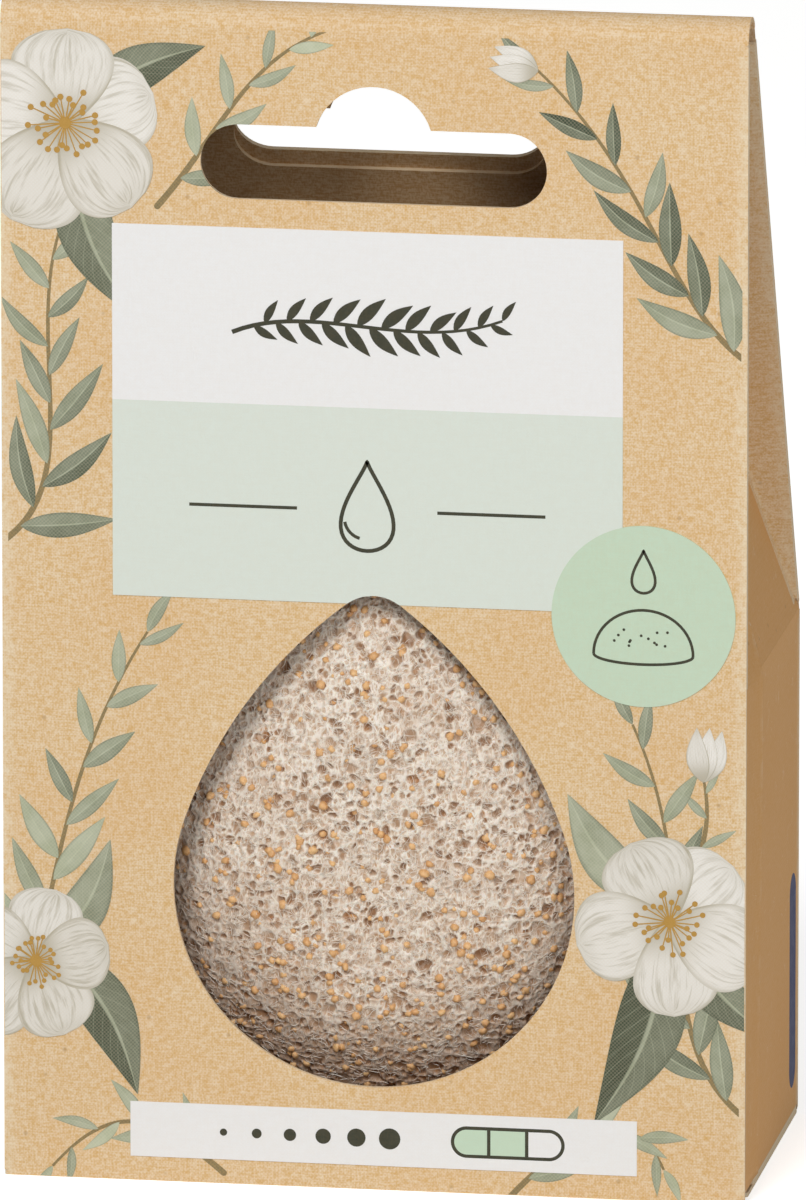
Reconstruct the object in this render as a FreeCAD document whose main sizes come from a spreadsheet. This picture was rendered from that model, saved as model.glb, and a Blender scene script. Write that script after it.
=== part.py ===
import FreeCAD, Part
import math
import os

import Sketcher

# Konjac sponge in its hanging carton.
# The carton is one blank of kraft board, creased and glued, so each panel between two
# creases is a piece here. The front stands upright, the back stands upright to the
# shoulder and then leans forward to the fold at the top, and the two sides tuck inward
# above the shoulder. The bottom is a tuck-in closure. The sponge stands inside, behind
# the drop-shaped window.
# Millimetres. X is to the right of someone who looks at the window, the front faces -Y,
# Z is up, and the origin lies under the middle of the carton on the surface it stands on.

# Driving sizes, written once. Each goes into the sheet under its own name.
SIZES = {
    # the carton's outside
    "pack_wide": 69.0,
    "pack_deep": 34.0,
    "pack_tall": 111.0,
    "board": 0.45,
    "shoulder_tall": 48.5,
    "fold_radius": 2.2,
    "crease_round": 0.3,
    # the drop-shaped window in the front
    "window_low": 9.7,
    "window_tall": 46.5,
    "window_belly_radius": 18.65,
    "window_flank_radius": 45.0,
    "window_tip_radius": 4.0,
    # the hanging slot, the same distance from the fold in the front and in the back
    "slot_wide": 32.0,
    "slot_tall": 6.95,
    "slot_below_fold": 15.85,
    "slot_hump_wide": 10.6,
    "slot_hump_tall": 3.9,
    "back_slot_wide": 29.0,
    # the flap that doubles the board behind the slot
    "hang_flap_ease": 0.55,
    "hang_flap_tall": 27.0,
    "hang_flap_slip": 1.6,
    # the sides tucked in above the shoulder
    "tuck_in": 15.0,
    "leaf_spring": 1.2,
    "leaf_ease": 1.4,
    "leaf_short": 0.6,
    # the glued seam inside the right side
    "glue_flap_wide": 11.7,
    "glue_flap_slant": 8.0,
    "glue_flap_ease": 1.0,
    # the closure at the bottom
    "closure_side_ease": 0.1,
    "closure_corner": 2.0,
    "tuck_gap": 0.4,
    "tuck_flap_tall": 8.8,
    "tuck_flap_inset": 1.5,
    "tuck_flap_corner": 6.0,
    "ply_gap": 0.1,
    "dust_flap_long": 15.0,
    "dust_flap_setback": 5.2,
    "dust_flap_taper": 2.0,
    "dust_flap_back_ease": 0.5,
    # the sponge
    "sponge_tall": 64.0,
    "sponge_deep": 22.0,
    "sponge_belly_radius": 27.5,
    "sponge_flank_radius": 62.0,
    "sponge_tip_radius": 7.0,
    "sponge_lean": 7.0,
    "sponge_floor_gap": 0.3,
    "sponge_window_gap": 0.2,
}

# The sponge's outline at each depth: share of the depth from the flat back, then the
# share of the full outline.
SPONGE_SECTION_SHARES = (
    (0.0, 0.93),
    (0.06, 0.975),
    (0.17, 1.0),
    (0.36, 0.99),
    (0.56, 0.945),
    (0.74, 0.85),
    (0.88, 0.70),
    (0.965, 0.52),
    (1.0, 0.32),
)

HALF_TURN = 180.0
QUARTER_TURN = 90.0

doc = FreeCAD.newDocument("KonjacSpongeCarton")
sheet = doc.addObject("Spreadsheet::Sheet", "sizes")
sheet.set("A1", "size")
sheet.set("B1", "value")
for row, (name, amount) in enumerate(SIZES.items(), start=2):
    sheet.set("A" + str(row), name)
    sheet.set("B" + str(row), str(amount))
    sheet.setAlias("B" + str(row), name)
doc.recompute()


class Measure:
    """A length or an angle, with the sheet formula that keeps it tied to the sizes."""

    def __init__(self, value, formula):
        self.value = float(value)
        self.formula = formula

    def __add__(self, other):
        return Measure(self.value + other.value, "(" + self.formula + " + " + other.formula + ")")

    def __sub__(self, other):
        return Measure(self.value - other.value, "(" + self.formula + " - " + other.formula + ")")

    def __neg__(self):
        return Measure(-self.value, "(-" + self.formula + ")")

    def __mul__(self, share):
        return Measure(self.value * share, "(" + self.formula + " * " + repr(share) + ")")

    def __truediv__(self, share):
        return Measure(self.value / share, "(" + self.formula + " / " + repr(share) + ")")


def size(name):
    return Measure(getattr(sheet, name), "sizes." + name)


def square(measure):
    return Measure(measure.value ** 2, "(" + measure.formula + "^2)")


def root(measure):
    return Measure(math.sqrt(measure.value), "sqrt(" + measure.formula + ")")


def angle_of(rise, run):
    value = math.degrees(math.atan2(rise.value, run.value))
    return Measure(value, "atan2(" + rise.formula + "; " + run.formula + ")")


def over(top, bottom):
    return Measure(top.value / bottom.value, "(" + top.formula + " / " + bottom.formula + ")")


ZERO = Measure(0, "0")
board = size("board")
half_wide = size("pack_wide") / 2
half_deep = size("pack_deep") / 2
pack_deep = size("pack_deep")
pack_tall = size("pack_tall")
shoulder = size("shoulder_tall")
fold_radius = size("fold_radius")
fold_axis_tall = pack_tall - fold_radius

# The leaning part of the back is the line from the shoulder that just touches the top
# fold. Its lean is the angle to the fold's axis less the angle that the radius takes.
lean_run = pack_deep - fold_radius
lean_rise = fold_axis_tall - shoulder
slope_long = root(square(lean_run) + square(lean_rise) - square(fold_radius))
slope_lean = angle_of(lean_run, lean_rise) - angle_of(fold_radius, slope_long)
half_lean = slope_lean / 2
bend_relief = Measure(
    board.value * math.tan(math.radians(half_lean.value)),
    "(" + board.formula + " * tan(" + half_lean.formula + "))",
)
lean_cosine = Measure(
    math.cos(math.radians(slope_lean.value)), "cos(" + slope_lean.formula + ")"
)
slanted_board = over(board, lean_cosine)

SIDEWAYS = FreeCAD.Vector(1, 0, 0)
UPRIGHT = FreeCAD.Vector(0, 0, 1)
ON_THE_SLOPE = FreeCAD.Placement(
    FreeCAD.Vector(0, half_deep.value, shoulder.value),
    FreeCAD.Rotation(SIDEWAYS, slope_lean.value),
)


def bind(thing, **measures):
    """Sets each property from its measure and ties it to the sheet."""
    for name, measure in measures.items():
        setattr(thing, name, measure.value)
        thing.setExpression(name, measure.formula)


def place(thing, x=ZERO, y=ZERO, z=ZERO):
    """Ties the place of a piece to the sheet."""
    thing.Placement.Base = FreeCAD.Vector(x.value, y.value, z.value)
    thing.setExpression("Placement.Base.x", x.formula)
    thing.setExpression("Placement.Base.y", y.formula)
    thing.setExpression("Placement.Base.z", z.formula)


def new_body(label):
    body = doc.addObject("PartDesign::Body", label)
    body.Label = label
    return body


def new_sketch(body, plane_role, name, offset=ZERO):
    """A sketch on one of the body's own planes, moved along that plane's normal."""
    plane = [item for item in body.Origin.OriginFeatures if item.Role == plane_role][0]
    sketch = body.newObject("Sketcher::SketchObject", name)
    sketch.AttachmentSupport = [(plane, "")]
    sketch.MapMode = "FlatFace"
    sketch.AttachmentOffset.Base = FreeCAD.Vector(0, 0, offset.value)
    sketch.setExpression("AttachmentOffset.Base.z", offset.formula)
    return sketch


def tie(sketch, kind, *place_and_measure):
    """Adds one constraint whose value comes from the sheet."""
    measure = place_and_measure[-1]
    number = sketch.addConstraint(
        Sketcher.Constraint(kind, *place_and_measure[:-1], measure.value)
    )
    sketch.setExpression("Constraints[" + str(number) + "]", measure.formula)


def flat(corner):
    return FreeCAD.Vector(corner[0].value, corner[1].value, 0)


def draw_path(sketch, corners, arcs=None):
    """Draws a closed path through the corners. arcs gives, by corner number, the centre
    of the arc that runs anticlockwise from that corner to the next one."""
    arcs = arcs or {}
    first = sketch.GeometryCount
    count = len(corners)
    for index, corner in enumerate(corners):
        start = flat(corner)
        end = flat(corners[(index + 1) % count])
        if index in arcs:
            centre = flat(arcs[index])
            circle = Part.Circle(centre, UPRIGHT, (start - centre).Length)
            start_angle = math.atan2(start.y - centre.y, start.x - centre.x)
            end_angle = math.atan2(end.y - centre.y, end.x - centre.x)
            sketch.addGeometry(Part.ArcOfCircle(circle, start_angle, end_angle))
        else:
            sketch.addGeometry(Part.LineSegment(start, end))
    for index, corner in enumerate(corners):
        line = first + index
        after = first + (index + 1) % count
        sketch.addConstraint(Sketcher.Constraint("Coincident", line, 2, after, 1))
        before = (index - 1) % count
        keep = [("DistanceX", corner[0]), ("DistanceY", corner[1])]
        if before in arcs:
            reach = flat(corner) - flat(arcs[before])
            keep.pop(0 if abs(reach.x) > abs(reach.y) else 1)
        for kind, measure in keep:
            tie(sketch, kind, line, 1, measure)
        if index in arcs:
            tie(sketch, "DistanceX", line, 3, arcs[index][0])
            tie(sketch, "DistanceY", line, 3, arcs[index][1])


def draw_drop(sketch, low, tall, belly, flank, tip):
    """Draws a drop with its tip up: a round belly, two long flanks and a small round tip,
    each running smoothly into the next."""
    belly_centre = low + belly
    tip_centre = low + tall - tip
    gap = tip_centre.value - belly_centre.value
    to_belly = flank.value - belly.value
    to_tip = flank.value - tip.value
    flank_height = (to_belly ** 2 - to_tip ** 2 + gap ** 2) / (2 * gap)
    flank_side = math.sqrt(to_belly ** 2 - flank_height ** 2)
    lower = FreeCAD.Vector(0, belly_centre.value, 0)
    upper = FreeCAD.Vector(0, tip_centre.value, 0)

    def arc(centre, radius, start, end):
        circle = Part.Circle(centre, UPRIGHT, radius)
        angles = [math.atan2(p.y - centre.y, p.x - centre.x) for p in (start, end)]
        return Part.ArcOfCircle(circle, *angles)

    joints = {}
    centres = {}
    for side in (1, -1):
        centre = FreeCAD.Vector(-side * flank_side, belly_centre.value + flank_height, 0)
        centres[side] = centre
        joints[side, "low"] = centre + (lower - centre).normalize() * flank.value
        joints[side, "high"] = centre + (upper - centre).normalize() * flank.value
    first = sketch.GeometryCount
    sketch.addGeometry(arc(lower, belly.value, joints[-1, "low"], joints[1, "low"]))
    sketch.addGeometry(arc(centres[1], flank.value, joints[1, "low"], joints[1, "high"]))
    sketch.addGeometry(arc(upper, tip.value, joints[1, "high"], joints[-1, "high"]))
    sketch.addGeometry(arc(centres[-1], flank.value, joints[-1, "high"], joints[-1, "low"]))
    for index in range(4):
        after = first + (index + 1) % 4
        sketch.addConstraint(Sketcher.Constraint("Tangent", first + index, 2, after, 1))
    for number, height, radius in ((first, belly_centre, belly), (first + 2, tip_centre, tip)):
        tie(sketch, "DistanceX", number, 3, ZERO)
        tie(sketch, "DistanceY", number, 3, height)
        tie(sketch, "Radius", number, radius)
    tie(sketch, "Radius", first + 1, flank)
    tie(sketch, "Radius", first + 3, flank)


def draw_slot(sketch, wide, low):
    """Draws the hanging slot: round ends and a hump in the middle of its upper edge."""
    radius = size("slot_tall") / 2
    reach = wide / 2 - radius
    high = low + size("slot_tall")
    middle = low + radius
    hump = size("slot_hump_wide") / 2
    rise = size("slot_hump_tall")
    hump_radius = over(square(hump) + square(rise), rise) / 2
    hump_centre = high + rise - hump_radius
    corners = [
        (-reach, low),
        (reach, low),
        (reach, high),
        (hump, high),
        (-hump, high),
        (-reach, high),
    ]
    arcs = {1: (reach, middle), 3: (ZERO, hump_centre), 5: (-reach, middle)}
    draw_path(sketch, corners, arcs)


def pad(body, sketch, length):
    feature = body.newObject("PartDesign::Pad", body.Label + "_pad")
    feature.Profile = sketch
    bind(feature, Length=length)
    return feature


def soften_side_creases(body, feature, face_is_outside):
    """Rounds the two long outer edges, where the board bends round to the sides."""
    doc.recompute()
    names = []
    for number, edge in enumerate(feature.Shape.Edges, start=1):
        middle = edge.CenterOfMass
        ends = [vertex.Point for vertex in edge.Vertexes]
        if len(ends) < 2:
            continue
        upright = abs(ends[0].x - ends[1].x) < board.value and abs(ends[0].y - ends[1].y) < board.value
        at_side = abs(abs(middle.x) - half_wide.value) < board.value / 2
        if upright and at_side and face_is_outside(middle.y):
            names.append("Edge" + str(number))
    fillet = body.newObject("PartDesign::Fillet", body.Label + "_creases")
    fillet.Base = (feature, names)
    bind(fillet, Radius=size("crease_round"))
    return fillet


# The front: one flat panel with the window and the slot cut through it.
slot_low = fold_axis_tall - size("slot_below_fold")


def make_front_panel():
    body = new_body("front_panel")
    sketch = new_sketch(body, "XZ_Plane", "front_outline")
    draw_path(
        sketch,
        [
            (-half_wide, ZERO),
            (half_wide, ZERO),
            (half_wide, fold_axis_tall),
            (-half_wide, fold_axis_tall),
        ],
    )
    draw_drop(
        sketch,
        size("window_low"),
        size("window_tall"),
        size("window_belly_radius"),
        size("window_flank_radius"),
        size("window_tip_radius"),
    )
    draw_slot(sketch, size("slot_wide"), slot_low)
    panel = pad(body, sketch, board)
    soften_side_creases(body, panel, lambda y: y < -board.value / 2)
    place(body, y=board - half_deep)
    return body


# The upright part of the back stands on the closure's crease.
def make_back_panel():
    body = new_body("back_panel")
    sketch = new_sketch(body, "XZ_Plane", "back_outline")
    top = shoulder - bend_relief
    draw_path(
        sketch,
        [(-half_wide, board), (half_wide, board), (half_wide, top), (-half_wide, top)],
    )
    panel = pad(body, sketch, board)
    soften_side_creases(body, panel, lambda y: y > -board.value / 2)
    place(body, y=half_deep)
    return body


# The leaning part of the back is drawn upright and then turned about the shoulder.
def make_back_slope_panel():
    body = new_body("back_slope_panel")
    sketch = new_sketch(body, "XZ_Plane", "slope_outline")
    draw_path(
        sketch,
        [
            (-half_wide, bend_relief),
            (half_wide, bend_relief),
            (half_wide, slope_long),
            (-half_wide, slope_long),
        ],
    )
    draw_slot(sketch, size("back_slot_wide"), slope_long - size("slot_below_fold"))
    panel = pad(body, sketch, board)
    soften_side_creases(body, panel, lambda y: y > -board.value / 2)
    body.Placement = ON_THE_SLOPE
    return body


# The flap lies flat on the inside of the slope, a little lower than its own slot needs.
# It fits between the tucked-in sides.
def make_hang_flap():
    body = new_body("hang_flap")
    sketch = new_sketch(body, "XZ_Plane", "hang_flap_outline", board)
    reach = half_wide - board - size("tuck_in") - size("hang_flap_ease")
    top = slope_long - size("fold_radius")
    low = top - size("hang_flap_tall")
    corner = size("closure_corner")
    draw_path(
        sketch,
        [
            (corner - reach, low),
            (reach - corner, low),
            (reach, low + corner),
            (reach, top),
            (-reach, top),
            (-reach, low + corner),
        ],
    )
    slot_height = slope_long - size("slot_below_fold") - size("hang_flap_slip")
    draw_slot(sketch, size("back_slot_wide"), slot_height)
    pad(body, sketch, board)
    body.Placement = ON_THE_SLOPE
    return body


# The fold at the top is part of a tube that lies along the carton's width.
def make_top_fold():
    tubes = []
    for label, radius in (("fold_outside", fold_radius), ("fold_inside", fold_radius - board)):
        tube = doc.addObject("Part::Cylinder", label)
        bind(
            tube,
            Radius=radius,
            Height=size("pack_wide"),
            Angle=Measure(HALF_TURN, repr(HALF_TURN) + " deg") - slope_lean,
        )
        tubes.append(tube)
    fold = doc.addObject("Part::Cut", "top_fold")
    fold.Label = "top_fold"
    fold.Base, fold.Tool = tubes
    lie_down = FreeCAD.Rotation(FreeCAD.Vector(0, 1, 0), QUARTER_TURN)
    start_at_slope = FreeCAD.Rotation(SIDEWAYS, slope_lean.value)
    face_back = FreeCAD.Rotation(SIDEWAYS, QUARTER_TURN)
    fold.Placement.Rotation = start_at_slope.multiply(face_back).multiply(lie_down)
    place(fold, x=-half_wide, y=fold_radius - half_deep, z=fold_axis_tall)
    return fold


def mirrored(right, label):
    """The same piece on the left of the carton."""
    left = doc.addObject("Part::Mirroring", label)
    left.Label = label
    left.Source = right
    left.Normal = SIDEWAYS
    return left


# The sides stand between the front and the back, on top of the dust flaps.
dust_flap_low = board + size("ply_gap")
side_low = dust_flap_low + board


def make_right_side_panel():
    side = doc.addObject("Part::Box", "right_side_panel")
    bind(side, Length=board, Width=pack_deep - board * 2, Height=shoulder - side_low)
    place(side, x=half_wide - board, y=board - half_deep, z=side_low)
    return side


# Above the shoulder each side has three triangles. The web leans inward from the
# shoulder, and a leaf folds back from each of its edges to the front and to the slope.
def make_right_gusset_web():
    web = doc.addObject("Part::Wedge", "right_gusset_web")
    tuck = size("tuck_in")
    spring = size("leaf_spring")
    back_at_shoulder = pack_deep - slanted_board
    back_at_top = fold_radius + over(fold_radius - board, lean_cosine)
    bind(
        web,
        Xmin=half_wide - board,
        Xmax=half_wide,
        X2min=half_wide - board - tuck,
        X2max=half_wide - tuck,
        Ymin=shoulder,
        Ymax=fold_axis_tall,
        Zmin=half_deep - back_at_shoulder,
        Zmax=half_deep - board,
        Z2min=half_deep - back_at_top + over(spring, lean_cosine),
        Z2max=half_deep - board - spring,
    )
    web.Placement.Rotation = FreeCAD.Rotation(SIDEWAYS, QUARTER_TURN)
    return web


def make_right_leaf(label, near, spring, low, high, reach):
    """A triangle of board whose upright edge is in the crease of the panel it lies on.
    near is that edge's face nearer the front, spring is how far the tip springs off."""
    leaf = doc.addObject("Part::Wedge", label)
    bind(
        leaf,
        Ymin=-half_wide,
        Ymax=reach - half_wide,
        Xmin=near,
        Xmax=near + board,
        X2min=near + spring,
        X2max=near + spring + board,
        Zmin=low,
        Zmax=high,
        Z2min=high,
        Z2max=high,
    )
    leaf.Placement.Rotation = FreeCAD.Rotation(UPRIGHT, QUARTER_TURN)
    return leaf


def make_right_front_leaf():
    near = board - half_deep
    spring = size("leaf_spring")
    reach = size("tuck_in")
    return make_right_leaf("right_front_leaf", near, spring, shoulder, fold_axis_tall, reach)


def make_right_back_leaf():
    near = -(board * 2)
    spring = -size("leaf_spring")
    low = size("leaf_ease")
    high = slope_long - low
    reach = size("tuck_in") - size("leaf_short")
    leaf = make_right_leaf("right_back_leaf", near, spring, low, high, reach)
    leaf.Placement = ON_THE_SLOPE.multiply(leaf.Placement)
    return leaf


# The glue flap runs from the front's crease along the inside of the right side.
def make_glue_flap():
    body = new_body("glue_flap")
    sketch = new_sketch(body, "YZ_Plane", "glue_flap_outline", half_wide - board * 2)
    near = board - half_deep
    far = size("glue_flap_wide") - half_deep
    low = side_low + size("glue_flap_ease")
    slant = size("glue_flap_slant")
    draw_path(
        sketch,
        [
            (near, low),
            (far, low + size("glue_flap_ease")),
            (far, shoulder - slant),
            (near, shoulder),
        ],
    )
    pad(body, sketch, board)
    return body


# The closure: the bottom panel hangs on the back's crease, and the tuck flap stands on
# its front edge, behind the front panel.
def make_bottom_panel():
    body = new_body("bottom_panel")
    sketch = new_sketch(body, "XY_Plane", "bottom_outline")
    reach = half_wide - size("closure_side_ease")
    front = board + size("tuck_gap") - half_deep
    corner = size("closure_corner")
    draw_path(
        sketch,
        [
            (corner - reach, front),
            (reach - corner, front),
            (reach, front + corner),
            (reach, half_deep),
            (-reach, half_deep),
            (-reach, front + corner),
        ],
    )
    pad(body, sketch, board)
    return body


def make_tuck_flap():
    body = new_body("tuck_flap")
    sketch = new_sketch(body, "XZ_Plane", "tuck_flap_outline")
    reach = half_wide - size("closure_corner") - size("tuck_flap_inset")
    high = board + size("tuck_flap_tall")
    corner = size("tuck_flap_corner")
    draw_path(
        sketch,
        [
            (-reach, board),
            (reach, board),
            (reach, high - corner),
            (reach - corner, high),
            (corner - reach, high),
            (-reach, high - corner),
        ],
        {2: (reach - corner, high - corner), 4: (corner - reach, high - corner)},
    )
    pad(body, sketch, board)
    place(body, y=board * 2 + size("tuck_gap") - half_deep)
    return body


# A dust flap folds in from each side, above the bottom panel. Its edges draw in towards
# the tip, so that it swings clear of the panel's crease and of the tuck flap.
def make_right_dust_flap():
    body = new_body("right_dust_flap")
    sketch = new_sketch(body, "XY_Plane", "dust_flap_outline")
    long = size("dust_flap_long")
    tip = half_wide - long
    front = size("dust_flap_setback") - half_deep
    back = half_deep - board - size("dust_flap_back_ease")
    draw_path(
        sketch,
        [
            (tip, front + size("dust_flap_taper")),
            (half_wide, front),
            (half_wide, back),
            (tip, back - long),
        ],
    )
    pad(body, sketch, board)
    place(body, z=dust_flap_low)
    return body


# The sponge: a drop-shaped half dome with a flat back. It stands on the closure, leans
# towards the window and nearly touches it.
def make_sponge():
    body = new_body("sponge")
    tall = size("sponge_tall")
    centre = tall / 2
    sketches = []
    for number, (depth_share, outline_share) in enumerate(SPONGE_SECTION_SHARES, start=1):
        name = "sponge_section_" + str(number)
        sketch = new_sketch(body, "XZ_Plane", name, size("sponge_deep") * depth_share)
        draw_drop(
            sketch,
            centre - centre * outline_share,
            tall * outline_share,
            size("sponge_belly_radius") * outline_share,
            size("sponge_flank_radius") * outline_share,
            size("sponge_tip_radius") * outline_share,
        )
        sketches.append(sketch)
    loft = body.newObject("PartDesign::AdditiveLoft", "sponge_dome")
    loft.Profile = sketches[0]
    loft.Sections = sketches[1:]
    doc.recompute()
    turn = FreeCAD.Rotation(SIDEWAYS, size("sponge_lean").value)
    leaning = body.Shape.copy()
    leaning.Placement = FreeCAD.Placement(FreeCAD.Vector(), turn)
    reach = leaning.optimalBoundingBox(False)
    window_inside = board + size("sponge_window_gap") - half_deep
    stands_on = board + size("sponge_floor_gap")
    body.Placement = FreeCAD.Placement(
        FreeCAD.Vector(0, window_inside.value - reach.YMin, stands_on.value - reach.ZMin), turn
    )
    return body


def make_all():
    right_side = make_right_side_panel()
    web = make_right_gusset_web()
    front_leaf = make_right_front_leaf()
    back_leaf = make_right_back_leaf()
    dust_flap = make_right_dust_flap()
    return [
        make_front_panel(),
        make_back_panel(),
        make_back_slope_panel(),
        make_hang_flap(),
        make_top_fold(),
        right_side,
        mirrored(right_side, "left_side_panel"),
        web,
        mirrored(web, "left_gusset_web"),
        front_leaf,
        mirrored(front_leaf, "left_front_leaf"),
        back_leaf,
        mirrored(back_leaf, "left_back_leaf"),
        make_glue_flap(),
        make_bottom_panel(),
        make_tuck_flap(),
        dust_flap,
        mirrored(dust_flap, "left_dust_flap"),
        make_sponge(),
    ]


pieces = make_all()
doc.recompute()

for item in doc.Objects:
    if "Invalid" in item.State or "Error" in item.State:
        raise RuntimeError(item.Label + " was not built: " + ", ".join(item.State))
for piece in pieces:
    if piece.Shape.isNull() or not piece.Shape.isValid():
        raise RuntimeError(piece.Label + " has no sound shape")

os.makedirs("parts", exist_ok=True)
for piece in pieces:
    piece.Shape.exportStep(os.path.join("parts", piece.Label + ".step"))
    print(piece.Label, round(piece.Shape.Volume, 2))
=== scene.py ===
"""Konjac sponge in its hanging carton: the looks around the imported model.

Names that end in _mm or _MM, and the layout tables of the print, are in millimetres.
Everything else is in metres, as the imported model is.
"""
import math
import random

import bmesh
import bpy
import numpy as np
from mathutils import Matrix, Vector, bvhtree, kdtree, noise
from mathutils.geometry import interpolate_bezier


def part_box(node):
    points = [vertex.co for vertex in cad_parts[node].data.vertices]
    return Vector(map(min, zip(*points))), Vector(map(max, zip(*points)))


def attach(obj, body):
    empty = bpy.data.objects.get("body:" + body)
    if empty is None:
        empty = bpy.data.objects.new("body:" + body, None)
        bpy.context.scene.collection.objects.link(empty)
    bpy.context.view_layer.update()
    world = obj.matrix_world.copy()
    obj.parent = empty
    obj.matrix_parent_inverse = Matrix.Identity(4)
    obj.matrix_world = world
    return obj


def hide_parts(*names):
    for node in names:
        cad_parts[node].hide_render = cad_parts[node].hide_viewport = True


bl_info = {
    "name": "Konjac Sponge Carton",
    "version": (1, 0, 0),
    "blender": (4, 5, 0),
    "location": "3D View > Sidebar > Sponge Carton",
    "description": "Board, print, sponge and studio of a konjac sponge in its hanging carton",
    "category": "Object",
}

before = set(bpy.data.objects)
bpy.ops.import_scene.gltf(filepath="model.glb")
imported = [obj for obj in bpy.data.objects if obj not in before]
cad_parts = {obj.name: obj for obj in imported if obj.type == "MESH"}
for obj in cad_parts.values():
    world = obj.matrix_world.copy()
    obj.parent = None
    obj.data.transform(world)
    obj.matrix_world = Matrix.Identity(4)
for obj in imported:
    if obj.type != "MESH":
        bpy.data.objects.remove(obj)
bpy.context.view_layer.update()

MM = 0.001
IMAGE_WIDE, IMAGE_TALL = 806, 1200
SAME_POINT = 1e-6

# The print lies on the board in thin films, each a little above the one before.
FILM_MM = 0.003
STEM_FILM, LEAF_FILM, BROAD_FILM, PETAL_FILM, HEART_FILM = 1, 2, 10, 18, 28
LABEL_FILM, BADGE_FILM, CELL_FILM, LINE_FILM, SIDE_FILM = 32, 34, 36, 38, 2
LEAF_FILMS = 8
PETAL_FILMS = 9

TO_FRONT, TO_BACK, TO_RIGHT, TO_LEFT, DOWN = (
    (0, -1, 0), (0, 1, 0), (1, 0, 0), (-1, 0, 0), (0, 0, -1),
)

# Which way each panel's printed side looks. The triangles of the tucked-in sides are
# printed on the side that is folded outwards.
PRINTED_SIDE = {
    "front_panel": TO_FRONT,
    "back_panel": TO_BACK,
    "back_slope_panel": TO_BACK,
    "hang_flap": TO_BACK,
    "right_side_panel": TO_RIGHT,
    "left_side_panel": TO_LEFT,
    "right_gusset_web": TO_RIGHT,
    "left_gusset_web": TO_LEFT,
    "right_front_leaf": TO_BACK,
    "left_front_leaf": TO_BACK,
    "right_back_leaf": TO_FRONT,
    "left_back_leaf": TO_FRONT,
    "glue_flap": TO_RIGHT,
    "bottom_panel": DOWN,
    "tuck_flap": TO_FRONT,
    "right_dust_flap": DOWN,
    "left_dust_flap": DOWN,
    "top_fold": None,
}


def linear(hex_colour):
    """An sRGB hex colour as a linear colour."""
    shades = [int(hex_colour[start:start + 2], 16) / 255 for start in (1, 3, 5)]
    return (*(s / 12.92 if s <= 0.04045 else ((s + 0.055) / 1.055) ** 2.4 for s in shades), 1.0)


def colour(name, description, hex_colour):
    return bpy.props.FloatVectorProperty(
        name=name, description=description, subtype="COLOR", size=4, min=0, max=1,
        default=linear(hex_colour),
    )


def length(name, description, millimetres):
    return bpy.props.FloatProperty(
        name=name, description=description, unit="LENGTH", subtype="DISTANCE", min=0,
        default=millimetres * MM,
    )


def number(name, description, default):
    return bpy.props.FloatProperty(name=name, description=description, default=default, min=0)


class BoardSettings(bpy.types.PropertyGroup):
    pale: colour("Kraft, pale", "Pinkish beige fibres of the printed side", "#E9D5B8")
    warm: colour("Kraft, warm", "Yellowish tan fibres of the printed side", "#D3A866")
    # Painted shade: the side tone stands in for the shade on the side panels; it also tints the board's slow
    # patches.
    side: colour("Kraft, sides", "Browner tone of the side panels", "#D69A50")
    speck: colour("Specks", "Dark specks of bark in the board", "#A47C4C")
    inside: colour("Inside", "Unprinted side of the board", "#AC8455")
    cut: colour("Cut edge", "Core of the board at a cut edge", "#EBDDC2")
    streak: length("Streak width", "Width of the board's fibre streaks", 0.17)
    mottle: length("Mottle", "Size of the board's cloudy patches", 0.9)
    # Painted highlight: how wide the paler band beside a crease is, where the rounded fold catches the light.
    crease: length("Crease width", "Width of the worn band beside a crease", 1.5)


class PrintSettings(bpy.types.PropertyGroup):
    white: colour("White ink", "Upper label and strip", "#EDEDED")
    mint: colour("Mint ink", "Lower label", "#DAE2D9")
    badge: colour("Badge ink", "Round badge and the gauge's full cells", "#C4DAC3")
    line: colour("Line ink", "Dark lines of the drawings", "#2F352C")
    bar: colour("Bar ink", "Pill-shaped bar on the side", "#1F2E55")
    petal: colour("Petal", "Light part of a petal", "#F1EEE8")
    petal_shade: colour("Petal shade", "Shaded root of a petal", "#B4AE9C")
    leaf_dark: colour("Leaf, dark", "Darkest leaves", "#3F4C39")
    leaf_pale: colour("Leaf, pale", "Palest leaves", "#C2C7AE")
    stem: colour("Stem", "Stems of the sprigs", "#7D7253")
    heart: colour("Blossom heart", "Stamens of the blossoms", "#B38A3F")


class SpongeSettings(bpy.types.PropertyGroup):
    strand: colour("Strands", "Light strands between the pores", "#F8F1E6")
    body: colour("Foam", "Foam between the strands", "#C5A383")
    # Partly the pore skin's own tan and partly painted shade of the hollow under it; it also tints the foam's
    # random patches.
    shade: colour("Pores", "Thin skin in the pores", "#AF8C6D")
    # Painted shade: the bottom of the open pores.
    hollow: colour("Open pores", "Bottom of the open pores", "#8F6848")
    # Painted shade: the browner tone where the foam stands back from the window.
    edge: colour("Foam edge", "Browner foam towards the sponge's edge", "#A87A52")
    granule: colour("Granule, light", "Light side of a shell granule", "#F0C48E")
    granule_dark: colour("Granule, dark", "Dark side of a shell granule", "#C08448")
    granule_wide: length("Granule width", "Width of a granule", 0.88)
    per_cm2: number("Granules", "Granules on each square centimetre", 31.0)
    coarse_step: length("Coarse mesh", "Mesh size of the hidden foam", 0.5)
    fibre_wide: length("Fibre width", "Width of a loose fibre", 0.075)


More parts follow.
